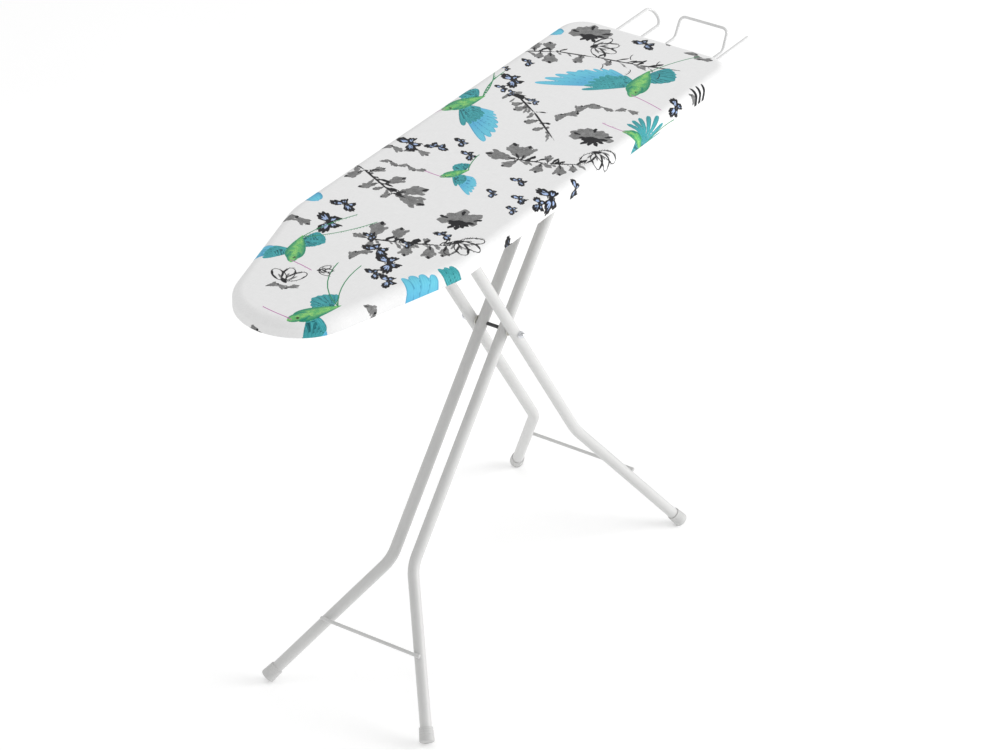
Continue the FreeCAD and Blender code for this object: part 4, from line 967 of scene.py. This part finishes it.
def moulded(name, light, shade, shine, grain):
    """Moulded plastic: fine spark-eroded grain and faint flow marks."""
    material, tree, shader = finish_of(name)
    inputs = {"Vector": own_place(tree), "Grain": grain}
    mould = node(tree, "ShaderNodeGroup", inputs, node_tree=mould_face).outputs
    feed(tree, shader, Base_Color=blend(tree, ramp(tree, mould["Patch"], 0.35, 0.65), shade, light),
         Roughness=ramp(tree, mould["Patch"], 0.3, 0.7, shine, shine + 0.12),
         Normal=bump(tree, mould["Grain"], 0.3, 0.00008))
    return material


foot_plastic = moulded("foot_plastic", ink(204, 204, 203), ink(196, 196, 195), 0.46, 1600.0)
tree = foot_plastic.node_tree
shader = tree.nodes["Principled BSDF"]
spot = own_place(tree)
# the caps turn darker in noisy patches over their lowest 7 mm, next to the floor
dark_band_top, dark_band_full = 0.007, 0.001
above_floor = node(tree, "ShaderNodeSeparateXYZ", {"Vector": spot}).outputs["Z"]
low_down = ramp(tree, above_floor, dark_band_top, dark_band_full)
low_patches = maths(tree, "MULTIPLY", low_down, noise(tree, spot, 160.0, 4.0))
foot_base_tone = shader.inputs["Base Color"].links[0].from_socket
low_darkened = blend(tree, maths(tree, "MULTIPLY", low_patches, 0.5), foot_base_tone, ink(140, 139, 136))
feed(tree, shader, Base_Color=low_darkened)
give(foot_plastic, "front_foot_left", "front_foot_right", "rear_foot_left", "rear_foot_right")

# ---------------------------------------------------------------- scissor pivot
# A steel rod through all four tubes, with nylon washers between them and chromed dome nuts.
give(plated("oiled_steel", ink(96, 97, 99), ink(70, 69, 68), 0.32, 500.0), "pivot_rod")
give(plated("chrome_plate", ink(228, 229, 232), ink(218, 220, 224), 0.06, 300.0), "pivot_cap_nuts")
natural_nylon = moulded("natural_nylon", ink(226, 225, 217), ink(214, 212, 203), 0.40, 1400.0)
give(natural_nylon, "pivot_washers")

# ---------------------------------------------------------------- height lock
# A black nylon slider on the guide rod, and a coated steel lock plate drawn out into a hand
# lever with a grey grip.
give(moulded("black_nylon", ink(34, 34, 36), ink(26, 26, 28), 0.42, 1500.0), "slider_block")
give(moulded("grip_plastic", ink(120, 122, 124), ink(108, 110, 112), 0.45, 1100.0), "lever_grip")
give(plated("lever_steel", ink(190, 191, 193), ink(166, 166, 165), 0.30, 360.0), "lock_lever")

# the coil spring that pushes the lock plate off the slider, five turns of 1.2 mm wire with
# ground ends
coil_low, coil_high = (np.array(corner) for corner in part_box("lock_spring"))
coil_wire = 0.0006
coil_radius = (coil_high[2] - coil_low[2]) / 2 - coil_wire
coil_turns = 5.0
coil_middle_z = (coil_high[2] + coil_low[2]) / 2


def coil(steps, sides):
    """Tube along a helix: x grows slowly over the first and last half turn, so the ends lie flat."""
    t = np.linspace(0, 1, steps)
    pace = np.interp(t, [0, 0.1, 0.9, 1], [0.25, 1, 1, 0.25])
    along = np.concatenate([[0], np.cumsum((pace[1:] + pace[:-1]) / 2)])
    x = coil_low[0] + coil_wire + (coil_high[0] - coil_low[0] - 2 * coil_wire) * along / along[-1]
    turn = t * coil_turns * 2 * math.pi
    spoke = np.column_stack([np.zeros(steps), np.cos(turn), np.sin(turn)])
    axis_at = np.column_stack([x, np.zeros(steps), np.full(steps, coil_middle_z)])
    line_at = spoke * coil_radius + axis_at
    way = np.gradient(line_at, axis=0)
    way /= np.linalg.norm(way, axis=1)[:, None]
    third = np.cross(way, spoke)
    around = np.arange(sides) / sides * 2 * math.pi
    return (line_at[:, None] + coil_wire * (np.cos(around)[None, :, None] * spoke[:, None]
                                            + np.sin(around)[None, :, None] * third[:, None]))


wound = coil(steps=161, sides=10)
ends = np.repeat(wound[[0, -1]].mean(axis=1)[:, None], wound.shape[1], axis=1)
coil_spring, _ = skin("coil_spring", np.concatenate([ends[:1], wound, ends[1:]]))
coil_spring.data.materials.append(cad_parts["pivot_rod"].data.materials[0])
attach(coil_spring, "slider")
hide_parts("lock_spring")
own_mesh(coil_spring)

# ---------------------------------------------------------------- iron rest
# One length of 5 mm wire bent to shape, with a tie wire welded under it, dipped in a light
# grey gloss coat that has pooled a little in the bends.
rest_coat = coated("rest_coat", ink(216, 216, 216), ink(206, 206, 206), ink(186, 186, 186),
                   shine=0.20, peel_scale=480.0, depth=0.00008, Coat_Weight=0.35,
                   Coat_Roughness=0.12)
give(rest_coat, "iron_rest", "rest_tie")
